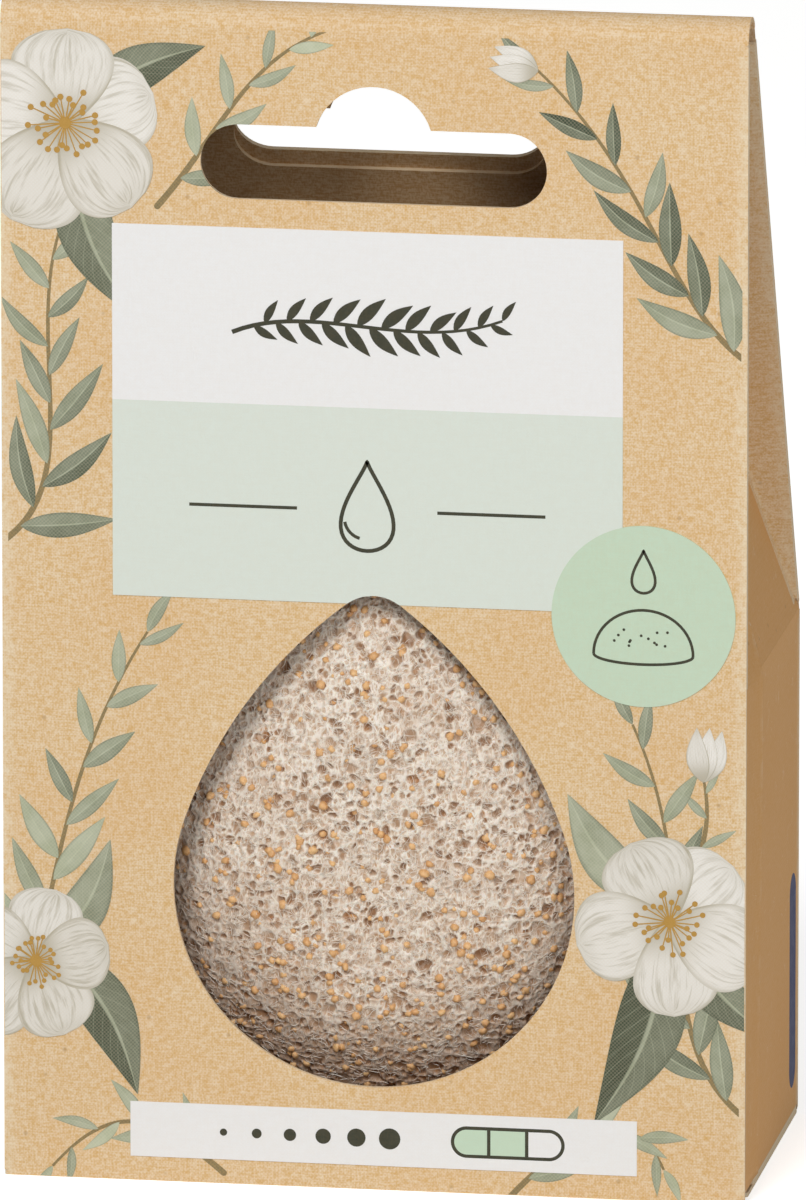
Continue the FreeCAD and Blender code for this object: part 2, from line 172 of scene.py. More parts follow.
class StudioSettings(bpy.types.PropertyGroup):
    azimuth: bpy.props.FloatProperty(
        name="Camera azimuth", description="Camera's turn to the right of the front",
        subtype="ANGLE", default=math.radians(9.2),
    )
    elevation: bpy.props.FloatProperty(
        name="Camera elevation", description="Camera's height above the horizon",
        subtype="ANGLE", default=math.radians(13.4),
    )
    distance: length("Camera distance", "From the camera to the carton", 2200.0)
    margin: number("Margin", "Picture height for each unit of the carton's", 1.002)
    key_power: number("Key lamp", "Power of the soft key lamp, in watts", 9.3)
    fill_power: number("Fill lamp", "Power of the broad lamp on the right, in watts", 4.2)
    sky: number("Sky", "Strength of the even light from all round", 0.23)


# Small tools

def set_inputs(tree, node, inputs):
    """Sets a node's inputs, by name or in order, to values or to other nodes' outputs."""
    pairs = inputs.items() if isinstance(inputs, dict) else enumerate(inputs)
    for key, value in pairs:
        if isinstance(value, bpy.types.NodeSocket):
            tree.links.new(value, node.inputs[key])
        else:
            node.inputs[key].default_value = value


def add(tree, kind, inputs=(), out=0, **settings):
    """Adds a shader node with its inputs and settings, and gives one of its outputs."""
    node = tree.nodes.new("ShaderNode" + kind)
    for name, value in settings.items():
        setattr(node, name, value)
    set_inputs(tree, node, inputs)
    return node.outputs[out] if out is not None else node


MIX = {"out": 2, "data_type": "RGBA"}
SOFT = {"interpolation_type": "SMOOTHSTEP"}
TIMES = {"operation": "MULTIPLY"}


def blank_tree(owner):
    """The empty node tree of a material or a world."""
    owner.use_nodes = True
    owner.node_tree.nodes.clear()
    return owner.node_tree


def new_material(name):
    """A material with a Principled surface, and the piece's own coordinates."""
    material = bpy.data.materials.new(name)
    tree = blank_tree(material)
    surface = add(tree, "BsdfPrincipled", out=None)
    add(tree, "OutputMaterial", (surface.outputs[0],), out=None)
    return material, tree, surface, add(tree, "TexCoord", out="Object")


def per_mm(spacing_mm):
    """The texture scale that gives a pattern this spacing."""
    return 1 / (spacing_mm * MM)


def patches(tree, where, spacing, detail, span, roughness=0.5):
    """Soft patches of a noise. span holds where in the noise they begin and end, and the
    values there."""
    inputs = {"Vector": where, "Scale": 1 / spacing, "Detail": detail, "Roughness": roughness}
    return add(tree, "MapRange", (add(tree, "TexNoise", inputs), *span), **SOFT)


def bent_lines(tree, inputs, span):
    """Thin bent lines, where a noise with these inputs crosses its middle value."""
    off_line = add(tree, "Math", (add(tree, "TexNoise", inputs), -0.5), operation="ADD")
    off_line = add(tree, "Math", (off_line,), operation="ABSOLUTE")
    return add(tree, "MapRange", (off_line, *span), **SOFT)


def weighted_sum(tree, parts):
    """Adds up values, each times its weight."""
    total = 0.0
    for value, weight in parts:
        total = add(tree, "Math", (value, weight, total), operation="MULTIPLY_ADD")
    return total


def lay_colours(tree, shade, layers):
    """Lays colours over a shade one after another, each by its share."""
    for share, tint in layers:
        shade = add(tree, "Mix", {0: share, 6: shade, 7: tint}, **MIX)
    return shade


def clamp(value):
    return min(1.0, max(0.0, value))


def unit_grid(bm, columns, rows):
    """Adds a flat grid, and gives each of its points with its shares across and up."""
    made = bmesh.ops.create_grid(bm, x_segments=columns, y_segments=rows, size=0.5, calc_uvs=True)
    return [(vert, vert.co.x + 0.5, vert.co.y + 0.5) for vert in made["verts"]]


def mesh_of(name, bm):
    """Turns a bmesh into a mesh."""
    mesh = bpy.data.meshes.new(name)
    bm.to_mesh(mesh)
    bm.free()
    return mesh


def place_new(name, data):
    """A new object in the scene."""
    made = bpy.data.objects.new(name, data)
    bpy.context.scene.collection.objects.link(made)
    return made


def make_piece(name, bm, material, body, smooth=False):
    """Turns a bmesh into a piece that rides on a body."""
    mesh = mesh_of(name, bm)
    piece = place_new(name, mesh)
    mesh.materials.append(material)
    for polygon in mesh.polygons:
        polygon.use_smooth = smooth
    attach(piece, body)
    return piece


# Board

def face_towards(node, direction):
    """The normal of a panel's largest flat face on one side, a point on that face, and the
    face's middle."""
    direction = Vector(direction)
    faces = {}
    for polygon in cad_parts[node].data.polygons:
        if polygon.normal.dot(direction) > 0.5:
            key = tuple(round(part, 2) for part in polygon.normal)
            faces.setdefault(key, []).append(polygon)
    largest = max(faces.values(), key=lambda group: sum(polygon.area for polygon in group))
    total = sum(polygon.area for polygon in largest)
    middle = sum((polygon.center * polygon.area for polygon in largest), Vector()) / total
    return largest[0].normal.copy(), largest[0].center.copy(), middle


# The board's fibres lie both ways: how each layer of streaks is drawn out.
STREAK_SCALES = ((0.2, 1, 1), (1, 1, 0.26))
# How far below the printed side the board's core begins, and its unprinted side, each from
# and to in millimetres.
CORE_BELOW_MM, INSIDE_BELOW_MM = (0.02, 0.06), (0.39, 0.43)
# How much of the browner side tone, painted shade for the shade the side panels lie in, is laid over their
# board.
SIDE_SHADE_SHARE = 0.72


def board_texture(tree, where, settings):
    """Fibre streaks both ways, cloudy patches, and loose fibres, each from 0 to 1."""
    streaks = []
    for scale in STREAK_SCALES:
        drawn_out = add(tree, "Mapping", {"Vector": where, "Scale": scale})
        inputs = {"Vector": drawn_out, "Scale": 1 / settings.streak, "Detail": 2.0}
        streaks.append(add(tree, "TexNoise", inputs))
    both = add(tree, "Math", streaks, operation="ADD")
    streak = add(tree, "MapRange", (both, 0.74, 1.26, 0.0, 1.0), **SOFT)
    mottle = patches(tree, where, settings.mottle, 7.0, (0.32, 0.68, 0.0, 1.0), 0.68)
    # A loose fibre is a thin bent line of one noise, broken up by another.
    inputs = {"Vector": where, "Scale": per_mm(2.4), "Detail": 2.0, "Distortion": 1.2}
    thin = bent_lines(tree, inputs, (0.012, 0.003, 0.0, 1.0))
    broken = patches(tree, where, 1.6 * MM, 1.0, (0.58, 0.66, 0.0, 1.0))
    return streak, mottle, add(tree, "Math", (thin, broken), **TIMES)


def print_screen(tree, where):
    """The printer's fine dot screen at 45 degrees, from 0 to 1. The real dots are about
    0.15 mm apart; they are drawn at 0.25 mm so that they show."""
    turned = add(tree, "Mapping", {"Vector": where, "Rotation": (0, math.radians(45), 0)})
    dots = add(tree, "TexVoronoi", {"Vector": turned, "Scale": per_mm(0.25), "Randomness": 0.0})
    return add(tree, "MapRange", (dots, 0.25, 0.6, 0.0, 1.0), **SOFT)


def board_colour(tree, where, settings, texture, side=False):
    """Kraft's printed side: yellowish and pinkish fibres, dark specks and slow patches, and on the panels
    that face right or left a browner, darker painted shade.
    """
    streak, mottle, fibres = texture
    screen = print_screen(tree, where)
    tone = weighted_sum(tree, ((streak, 0.58), (mottle, 0.26), (screen, 0.20)))
    slow = patches(tree, where, 14.0 * MM, 3.0, (0.35, 0.7, 0.0, 0.14))
    specks = add(tree, "TexVoronoi", {"Vector": where, "Scale": per_mm(1.9)}, out=None)
    spot = add(tree, "MapRange", (specks.outputs["Distance"], 0.16, 0.05, 0.0, 1.0), **SOFT)
    chosen = add(tree, "SeparateColor", (specks.outputs["Color"],))
    chosen = add(tree, "MapRange", (chosen, 0.72, 0.80, 0.0, 0.4), **SOFT)
    return lay_colours(tree, settings.warm, (
        (tone, settings.pale),
        (slow, settings.side),
        # Painted shade: the panels that face right or left are made browner and darker.
        (SIDE_SHADE_SHARE if side else 0.0, settings.side),
        (add(tree, "Math", (spot, chosen), **TIMES), settings.speck),
        (add(tree, "Math", (fibres, 0.3), **TIMES), settings.cut),
    ))


def finish_board(tree, surface, shade, texture, specular=0.3):
    """The matt, slightly rough surface of uncoated board."""
    streak, mottle, fibres = texture
    relief = add(tree, "Math", (streak, 0.6, fibres), operation="MULTIPLY_ADD")
    set_inputs(tree, surface, {
        "Base Color": shade,
        "Roughness": add(tree, "MapRange", (mottle, 0.0, 1.0, 0.74, 0.88), **SOFT),
        "Specular IOR Level": specular,
        "Normal": add(tree, "Bump", {"Height": relief, "Strength": 0.25, "Distance": 0.03 * MM}),
    })


def worn_beside_crease(tree, where, settings, mottle, shade, axis, edge):
    """Painted highlight: a paler band beside an upright crease, broken up by the board's mottle, stands in
    for the light that the rounded fold catches.
    """
    across = add(tree, "SeparateXYZ", (where,), out=axis)
    reach = add(tree, "Math", (across,), operation="ABSOLUTE")
    tone_share = add(tree, "MapRange", (reach, edge - settings.crease, edge - 0.3 * MM, 0.0, 1.0), **SOFT)
    broken = add(tree, "MapRange", (mottle, 0.0, 1.0, 0.12, 0.42), **SOFT)
    tone_share = add(tree, "Math", (tone_share, broken), **TIMES)
    return add(tree, "Mix", {0: tone_share, 6: shade, 7: settings.cut}, **MIX)


def kraft_board(name, printed_side, settings):
    """Uncoated kraft board, about 0.45 mm thick, printed and left unvarnished: matt and
    fibrous, with a paler core at its cut edges and a browner, unprinted inside."""
    material, tree, surface, where = new_material("kraft_" + name)
    texture = board_texture(tree, where, settings)
    streak, mottle, _ = texture
    # Panels that face right or left get the painted side shade.
    side = printed_side in (TO_RIGHT, TO_LEFT)
    shade = board_colour(tree, where, settings, texture, side)
    if printed_side:
        outward, point, _ = face_towards(name, printed_side)
        from_face = add(tree, "VectorMath", (where, point), operation="SUBTRACT")
        depth = add(tree, "VectorMath", (from_face, outward), out="Value", operation="DOT_PRODUCT")
        below, inner = (
            add(tree, "MapRange", (depth, -start * MM, -end * MM, 0.0, 1.0), **SOFT)
            for start, end in (CORE_BELOW_MM, INSIDE_BELOW_MM)
        )
        cut = (add(tree, "Math", (mottle, 0.4), **TIMES), settings.warm)
        raw = (add(tree, "Math", (streak, 0.3), **TIMES), settings.pale)
        shade = lay_colours(tree, shade, (
            (add(tree, "Math", (below, 0.75), **TIMES), lay_colours(tree, settings.cut, (cut,))),
            (inner, lay_colours(tree, settings.inside, (raw,))),
        ))
        axis = "Y" if abs(outward.x) > abs(outward.y) else "X"
        edge = max(abs(getattr(corner, axis.lower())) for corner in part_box(name))
        # Painted highlight: a paler band beside the panel's upright creases.
        shade = worn_beside_crease(tree, where, settings, mottle, shade, axis, edge)
    finish_board(tree, surface, shade, texture)
    return material


def crease_material(side, settings):
    """Kraft board on a pressed crease, cracked to its light core in places. Beside the upright creases a
    paler band is painted as their highlight; the shoulder crease and the glued seam take the browner side
    tone, painted shade."""
    material, tree, surface, where = new_material("kraft_crease")
    texture = board_texture(tree, where, settings)
    shade = board_colour(tree, where, settings, texture, side)
    if not side:
        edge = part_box("front_panel")[1].x
        shade = worn_beside_crease(tree, where, settings, texture[1], shade, "X", edge)
    cracked = patches(tree, where, 2.6 * MM, 5.0, (0.42, 0.68, 0.0, 0.7), 0.7)
    middle = add(tree, "Attribute", out="Fac", attribute_name="middle")
    cracked = add(tree, "Math", (cracked, middle), **TIMES)
    shade = add(tree, "Mix", {0: cracked, 6: shade, 7: settings.cut}, **MIX)
    finish_board(tree, surface, shade, texture)
    return material


# Creases between two panels, by piece: each panel and the side it shows, the axis that
# limits the crease, its two ends and its reach on each panel in millimetres, and how far
# it is cracked. {0} stands for right or left.
CREASES = {
    "front_creases": (
        ("front_panel", TO_FRONT, "{0}_side_panel", TO_RIGHT, 2, 0.5, 48.5, (0.6, 0.1), 0.6),
        ("front_panel", TO_FRONT, "front_panel", TO_RIGHT, 2, 48.5, 108.7, (0.6, 0.4), 0.6),
    ),
    "back_creases": (
        ("back_panel", TO_BACK, "{0}_side_panel", TO_RIGHT, 2, 0.6, 48.3, (0.6, 0.6), 0.6),
        ("back_slope_panel", TO_BACK, "back_slope_panel", TO_RIGHT, 2, 49.2, 108.4, (0.6, 0.4), 0.6),
        ("back_panel", TO_BACK, "back_slope_panel", TO_BACK, 0, -34.2, 34.2, (0.6, 0.6), 0.5),
    ),
    "shoulder_creases": (
        ("{0}_side_panel", TO_RIGHT, "{0}_gusset_web", TO_RIGHT, 1, -16.5, 16.4, (0.9, 0.9), 0.0),
    ),
    "gusset_creases": (
        ("{0}_gusset_web", TO_RIGHT, "{0}_back_leaf", TO_FRONT, 2, 49.6, 107.0, (1.1, 0.3), 1.2),
    ),
}
CREASE_LIFT_MM, CREASE_SKIN_MM = 0.012, 0.008
CREASE_STEPS = 60
# A strip's section on each panel, as shares of its reach and of its lift, how far its
# corner is lifted, and how far it is cracked from one edge to the other.
CREASE_SECTION = ((1.0, 0.15), (0.5, 1.0), (0.14, 1.0))
CREASE_CORNER = 1.5
CREASE_MIDDLE = (0.0, 0.35, 1.0, 1.0, 1.0, 0.35, 0.0)
# The cracks fade over one part in this many of the crease's length, at each end.
CREASE_FADE_PARTS = 10


def lay_crease(bm, entry, hand):
    """Lays a thin strip over the crease between two panels, rounded from one to the other."""
    first, first_side, second, second_side, axis, low, high, reaches_mm, cracked = entry
    lift = CREASE_LIFT_MM * MM
    mirrored = Vector((-1 if hand == "left" else 1, 1, 1))
    faces = [
        face_towards(node.format(hand), Vector(side) * mirrored)
        for node, side in ((first, first_side), (second, second_side))
    ]
    (out_1, point_1, _), (out_2, point_2, _) = faces
    along = out_1.cross(out_2).normalized()
    solve = Matrix((out_1, out_2, along))
    origin = solve.inverted() @ Vector((out_1.dot(point_1), out_2.dot(point_2), along.dot(point_1)))
    ends = [origin + along * ((limit * MM - origin[axis]) / along[axis]) for limit in (low, high)]
    sections = []
    for (out, _, middle), reach_mm in zip(faces, reaches_mm):
        away = middle - origin
        away = (away - along * away.dot(along)).normalized() * reach_mm * MM
        sections.append([away * share + out * lift * up for share, up in CREASE_SECTION])
    corner = (out_1 + out_2).normalized() * lift * CREASE_CORNER
    offsets = [*sections[0], corner, *reversed(sections[1])]
    middle_share = bm.verts.layers.float["middle"]
    grid = unit_grid(bm, CREASE_STEPS, len(offsets) - 1)
    for vert, share, up in grid:
        row = round(up * (len(offsets) - 1))
        from_end = clamp(min(share, 1 - share) * CREASE_FADE_PARTS)
        vert[middle_share] = CREASE_MIDDLE[row] * cracked * from_end
        vert.co = ends[0].lerp(ends[1], share) + offsets[row]
    for part in {part for vert, _, _ in grid for part in vert.link_faces}:
        part.normal_update()
        if part.normal.dot(out_1 + out_2) < 0:
            part.normal_flip()


# The swelling on the right side, over the glued flap: how far the flap's ridge stands from
# the front, where the ridge bends and ends, and how high it is, in millimetres.
SEAM_RIDGE_MM, SEAM_LOW_MM, SEAM_BEND_MM, SEAM_TIP_MM = 6.6, 1.2, 53.4, 60.5
SEAM_LIFT_MM, SEAM_FALL_MM, SEAM_ROOT_MM = 0.55, 1.2, 0.02
# It is fainter at its foot, and grows to its full height between these two heights.
SEAM_FAINT, SEAM_FAINT_MM, SEAM_FULL_MM = 0.45, 10, 35
# Painted highlight: how pale and cracked the board is painted along the ridge.
SEAM_RIDGE_HIGHLIGHT = 0.45


def lay_seam(bm):
    """Swells the right side where the glued flap lies behind it: the board rises from the front's crease to a
    ridge and falls off there. It ends in a slant above the shoulder. Along the ridge the board is painted
    paler and cracked, as the highlight the ridge catches."""
    faces = [face_towards(node, TO_RIGHT) for node in ("right_side_panel", "right_gusset_web")]
    front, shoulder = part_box("right_side_panel")[0].y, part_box("right_side_panel")[1].z
    middle_share = bm.verts.layers.float["middle"]

    def on_side(y, z, height):
        out, point, _ = faces[z > shoulder]
        away = height - out.y * (y - point.y) - out.z * (z - point.z)
        return Vector((point.x + away / out.x, y, z))

    for vert, across, up in unit_grid(bm, 44, 72):
        z = SEAM_LOW_MM + up * (SEAM_TIP_MM - SEAM_LOW_MM)
        slant = clamp((SEAM_TIP_MM - z) / (SEAM_TIP_MM - SEAM_BEND_MM))
        ridge = SEAM_RIDGE_MM * slant + 0.01
        reach = across * (ridge + SEAM_FALL_MM)
        past = clamp((reach - ridge) / SEAM_FALL_MM)
        swell = (min(reach, ridge) / ridge) ** 2.1 * (1 - past) ** 1.5
        grown = clamp((z - SEAM_FAINT_MM) / (SEAM_FULL_MM - SEAM_FAINT_MM))
        faint = SEAM_FAINT + (1 - SEAM_FAINT) * grown
        # Painted highlight along the ridge, fainter where the seam is faint.
        vert[middle_share] = SEAM_RIDGE_HIGHLIGHT * max(0.0, 1 - abs(reach - ridge)) * faint
        vert.co = on_side(front + reach * MM, z * MM, SEAM_LIFT_MM * MM * swell * faint * slant ** 0.4)
    made = bmesh.ops.extrude_face_region(bm, geom=bm.faces[:], use_keep_orig=True)
    for vert in made["geom"]:
        if isinstance(vert, bmesh.types.BMVert):
            vert.co = on_side(vert.co.y, vert.co.z, -SEAM_ROOT_MM * MM)
    bmesh.ops.recalc_face_normals(bm, faces=bm.faces)


def new_strip():
    """A bmesh whose points also hold how far they are cracked; along the glued seam's ridge that paler
    cracked line is a painted highlight.
    """
    bm = bmesh.new()
    bm.verts.layers.float.new("middle")
    return bm


class KONJAC_OT_board(bpy.types.Operator):
    """Gives every panel of the carton its kraft board, rounds its creases, and swells the
    glued side."""

    bl_idname = "konjac.board"
    bl_label = "Carton board"

    def execute(self, context):
        settings = context.scene.konjac_board
        for node, printed_side in PRINTED_SIDE.items():
            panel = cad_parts[node]
            panel.data.materials.clear()
            panel.data.materials.append(kraft_board(node, printed_side, settings))
        for name, entries in CREASES.items():
            bm = new_strip()
            for entry in entries:
                # A crease that is limited along X crosses the middle, so there is only one.
                for hand in ("right", "left") if entry[4] else ("right",):
                    lay_crease(bm, entry, hand)
            bm.normal_update()
            board = crease_material(name == "shoulder_creases", settings)
            piece = make_piece(name, bm, board, "carton")
            skin = piece.modifiers.new("board skin", "SOLIDIFY")
            skin.thickness = CREASE_SKIN_MM * MM
            skin.offset = -1
        bm = new_strip()
        lay_seam(bm)
        board = crease_material(True, settings)
        make_piece("glued_seam", bm, board, "carton", smooth=True)
        return {"FINISHED"}


# Print

def rim_of_opening(low_mm, high_mm):
    """The rim of a cut-out in the front, in order round its middle, in millimetres."""
    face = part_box("front_panel")[0].y
    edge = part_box("front_panel")[1].x
    points = {
        (round(vert.co.x / MM, 3), round(vert.co.z / MM, 3))
        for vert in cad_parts["front_panel"].data.vertices
        if vert.co.y < face + 0.01 * MM and abs(vert.co.x) < edge - 5 * MM
        and low_mm < vert.co.z / MM < high_mm
    }
    middle = Vector((
        sum(x for x, z in points) / len(points),
        (min(z for x, z in points) + max(z for x, z in points)) / 2,
    ))
    return np.array(sorted(points, key=lambda p: math.atan2(p[1] - middle.y, p[0] - middle.x)))


WINDOW_RIM = rim_of_opening(5, 75)
SLOT_RIM = rim_of_opening(85, 107)


def inside_rim(points, rim):
    """Which of the points lie inside a rim."""
    step = (np.roll(rim, -1, axis=0) - rim)[None]
    offset = points[:, None] - rim[None]
    crosses = (offset[..., 1] < 0) != (offset[..., 1] < step[..., 1])
    steep = np.where(step[..., 1] == 0, 1e-9, step[..., 1])
    side = offset[..., 0] - step[..., 0] * offset[..., 1] / steep
    return (crosses & (side < 0)).sum(axis=1) % 2 == 1


def nearest_on_rim(points, rim):
    """The nearest point on a rim for each point, and how far it is."""
    step = (np.roll(rim, -1, axis=0) - rim)[None]
    offset = points[:, None] - rim[None]
    share = np.clip((offset * step).sum(-1) / (step ** 2).sum(-1), 0, 1)
    nearest = rim[None] + share[..., None] * step
    away = np.linalg.norm(points[:, None] - nearest, axis=-1)
    best = away.argmin(axis=1)
    rows = np.arange(len(points))
    return nearest[rows, best], away[rows, best]


def keep_out(bm, rim):
    """Draws the points of a flat print that lie in a cut-out back to its rim."""
    verts = list(bm.verts)
    points = np.array([(vert.co.x, vert.co.y) for vert in verts])
    inside = np.nonzero(inside_rim(points, rim))[0]
    if len(inside):
        for index, spot in zip(inside, nearest_on_rim(points[inside], rim)[0]):
            verts[index].co.xy = spot


def trim(bm, low, high):
    """Cuts a flat print off at the edges of its panel."""
    for corner, outward in ((low, -1), (high, 1)):
        for axis in (0, 1):
            normal = [0.0, 0.0, 0.0]
            normal[axis] = outward
            geometry = bm.verts[:] + bm.edges[:] + bm.faces[:]
            point = (corner[0], corner[1], 0)
            bmesh.ops.bisect_plane(
                bm, geom=geometry, dist=SAME_POINT, plane_co=point, plane_no=normal, clear_outer=True
            )


def panel_face(origin, across, up):
    """The transform from a print's own millimetres to a panel: across, up and outwards."""
    across, up = Vector(across).normalized(), Vector(up).normalized()
    outward = across.cross(up)
    turn = Matrix((across, up, outward)).transposed().to_4x4()
    return Matrix.Translation(origin) @ turn @ Matrix.Scale(MM, 4)


FRONT = panel_face((0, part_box("front_panel")[0].y, 0), (1, 0, 0), (0, 0, 1))
RIGHT_SIDE = panel_face((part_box("right_side_panel")[1].x, 0, 0), (0, 1, 0), (0, 0, 1))
FRONT_EDGES = ((-34.42, 0.05), (34.42, 108.75))


def new_print():
    """A bmesh with the layers that a print needs."""
    bm = bmesh.new()
    bm.loops.layers.uv.new("print")
    bm.verts.layers.float.new("tone")
    return bm


def finish_print(name, bm, film, ink, face=FRONT, edges=FRONT_EDGES, openings=(WINDOW_RIM, SLOT_RIM)):
    """Lays a flat print on its panel, cut off at the panel's edges and openings, and gives
    it the thickness that takes it down to the board."""
    for rim in openings:
        keep_out(bm, rim)
    if edges:
        trim(bm, *edges)
    bmesh.ops.dissolve_degenerate(bm, dist=0.0005, edges=bm.edges)
    bm.normal_update()
    for part in bm.faces:
        if part.normal.z < 0:
            part.normal_flip()
    bmesh.ops.translate(bm, verts=bm.verts, vec=(0, 0, film * FILM_MM))
    bmesh.ops.transform(bm, verts=bm.verts, matrix=face)
    piece = make_piece(name, bm, ink, "carton")
    down = piece.modifiers.new("film", "SOLIDIFY")
    down.thickness = film * FILM_MM * MM
    down.offset = -1


def printed_ink(name, tint, show_through):
    """Opaque flat ink on kraft board: matt, with the board's fibres faintly in it."""
    material, tree, surface, where = new_material("ink_" + name)
    board = bpy.context.scene.konjac_board
    texture = board_texture(tree, where, board)
    wash = add(tree, "Math", (texture[0], print_screen(tree, where)), operation="ADD")
    shade = lay_colours(tree, tint, (
        (add(tree, "Math", (wash, show_through * 0.5), **TIMES), board.warm),
        (add(tree, "Math", (texture[1], show_through * 0.3), **TIMES), board.inside),
    ))
    finish_board(tree, surface, shade, texture, specular=0.35)
    return material


def finish_ink(name, bm, film, tint, show_through=0.04, **place):
    """Lays a flat print in one opaque ink. show_through is how far the board shows in it."""
    finish_print(name, bm, film, printed_ink(name, tint, show_through), **place)


def blade_coordinates(tree):
    """How far along a leaf or petal, how far from its midrib, and its tone."""
    spread = add(tree, "SeparateXYZ", (add(tree, "UVMap", uv_map="print"),), out=None)
    centred = add(tree, "Math", (spread.outputs["Y"], -0.5), operation="ADD")
    off_rib = add(tree, "Math", (centred,), operation="ABSOLUTE")
    tone = add(tree, "Attribute", out="Fac", attribute_name="tone")
    return spread.outputs["X"], centred, off_rib, tone


def finish_blade(tree, surface, where, shade, screen_share, tint):
    """Lets the board show through a leaf or petal by the printer's dot screen, and gives it
    the board's surface."""
    screen = add(tree, "Math", (print_screen(tree, where), screen_share), **TIMES)
    shade = add(tree, "Mix", {0: screen, 6: shade, 7: tint}, **MIX)
    finish_board(tree, surface, shade, board_texture(tree, where, bpy.context.scene.konjac_board))


def printed_leaf(settings):
    """A leaf in watercolour shades, printed through a dot screen: one half of the blade is
    lighter, and the midrib and side veins are paler than both."""
    material, tree, surface, where = new_material("ink_leaf")
    along, centred, off_rib, tone = blade_coordinates(tree)
    half = add(tree, "MapRange", (centred, -0.02, 0.02, 0.0, 0.24), **SOFT)
    slant = weighted_sum(tree, ((off_rib, -5.0), (along, 11.0)))
    wave = add(tree, "Math", (slant, 0.5), operation="PINGPONG")
    vein = add(tree, "MapRange", (wave, 0.07, 0.0, 0.0, 0.26), **SOFT)
    rib = add(tree, "MapRange", (off_rib, 0.05, 0.015, 0.0, 0.6), **SOFT)
    veins = add(tree, "Math", (vein, rib), operation="MAXIMUM")
    shade = lay_colours(tree, settings.leaf_dark, (
        (tone, settings.leaf_pale), (half, settings.leaf_pale), (veins, settings.leaf_pale),
    ))
    cloud = patches(tree, where, 3.5 * MM, 6.0, (0.35, 0.7, 0.0, 0.45), 0.7)
    shade = add(tree, "Mix", {0: cloud, 6: shade, 7: settings.leaf_dark}, blend_type="SOFT_LIGHT", **MIX)
    edge = add(tree, "MapRange", (off_rib, 0.38, 0.5, 0.0, 0.4), **SOFT)
    shade = add(tree, "Mix", {0: edge, 6: shade, 7: settings.leaf_dark}, **MIX)
    finish_blade(tree, surface, where, shade, 0.16, bpy.context.scene.konjac_board.pale)
    return material


def printed_petal(settings):
    """A white petal in watercolour shades: dusky at the root, with fine shadow lines that
    run to the edge."""
    material, tree, surface, where = new_material("ink_petal")
    along, centred, off_rib, tone = blade_coordinates(tree)
    root = add(tree, "MapRange", (along, 0.05, 0.5, 0.75, 0.06), **SOFT)
    tip = add(tree, "MapRange", (along, 0.75, 1.0, 0.0, 0.2), **SOFT)
    # The lines fan out with the blade, so their noise lies in its own coordinates.
    fan = [
        add(tree, "Math", pair, **TIMES) for pair in ((along, 1.6), (centred, 15.0), (tone, 9.0))
    ]
    lines = patches(tree, add(tree, "CombineXYZ", fan), 1 / 1.5, 5.0, (0.42, 0.72, 0.0, 0.6), 0.6)
    edge = add(tree, "MapRange", (off_rib, 0.42, 0.5, 0.0, 0.45), **SOFT)
    dark = add(tree, "Math", (root, lines), operation="MAXIMUM")
    rim = add(tree, "Math", (edge, tip), operation="MAXIMUM")
    dark = add(tree, "Math", (dark, rim), operation="ADD")
    dark = add(tree, "Math", (tone, 0.3, dark), operation="MULTIPLY_ADD", use_clamp=True)
    shade = add(tree, "Mix", {0: dark, 6: settings.petal, 7: settings.petal_shade}, **MIX)
    finish_blade(tree, surface, where, shade, 0.08, bpy.context.scene.konjac_board.warm)
    return material


def lance(share):
    """Half the width of a slim leaf along its length, as a share of its widest."""
    return max(0.0, math.sin(math.pi * share ** 0.82)) ** 0.95 * (1 - 0.12 * share)


def round_petal(share, widest=0.64):
    """The same for a petal, which is narrow at its root and round at its tip."""
    if share < widest:
        return 0.16 + 0.84 * math.sin(math.pi / 2 * share / widest) ** 0.9
    return math.sqrt(max(0.0, 1 - ((share - widest) / (1 - widest)) ** 2))


def lay_blade(bm, base, turn, long, wide, bend, outline, tone, film=0, notch=0.0, grid=(18, 6)):
    """Lays one flat leaf or petal from its base. bend is how far its middle bows aside."""
    tones = bm.verts.layers.float["tone"]
    along = Vector((math.cos(turn), math.sin(turn)))
    across = Vector((-along.y, along.x))
    for vert, share, up in unit_grid(bm, *grid):
        side = (up - 0.5) * 2
        run = share - notch * share ** 8 * (1 - abs(side)) ** 1.5
        bow = bend * math.sin(math.pi * share)
        spot = Vector(base) + along * long * run + across * (bow + side * wide / 2 * outline(share))
        vert.co = (spot.x, spot.y, film * FILM_MM)
        vert[tones] = tone


def lay_line(bm, path, wide_from, wide_to=None, film=0, tone=0.5):
    """Lays a flat line along a path. Its width changes if two widths are given."""
    tones = bm.verts.layers.float["tone"]
    wide_to = wide_from if wide_to is None else wide_to
    count = len(path) - 1
    closed = (path[0] - path[-1]).length < 1e-4
    for vert, share, up in unit_grid(bm, count, 1):
        index = round(share * count)
        before = path[index - 1] if index else (path[-2] if closed else path[0])
        after = path[index + 1] if index < count else (path[1] if closed else path[-1])
        ahead = (after - before).normalized()
        wide = wide_from + (wide_to - wide_from) * index / count
        spot = path[index] + Vector((-ahead.y, ahead.x)) * (up - 0.5) * wide
        vert.co = (spot.x, spot.y, film * FILM_MM)
        vert[tones] = tone


def lay_dot(bm, centre, radius, film=0, segments=12):
    """Lays a flat dot."""
    made = bmesh.ops.create_circle(bm, cap_ends=True, segments=segments, radius=radius)
    bmesh.ops.translate(bm, verts=made["verts"], vec=(*centre, film * FILM_MM))


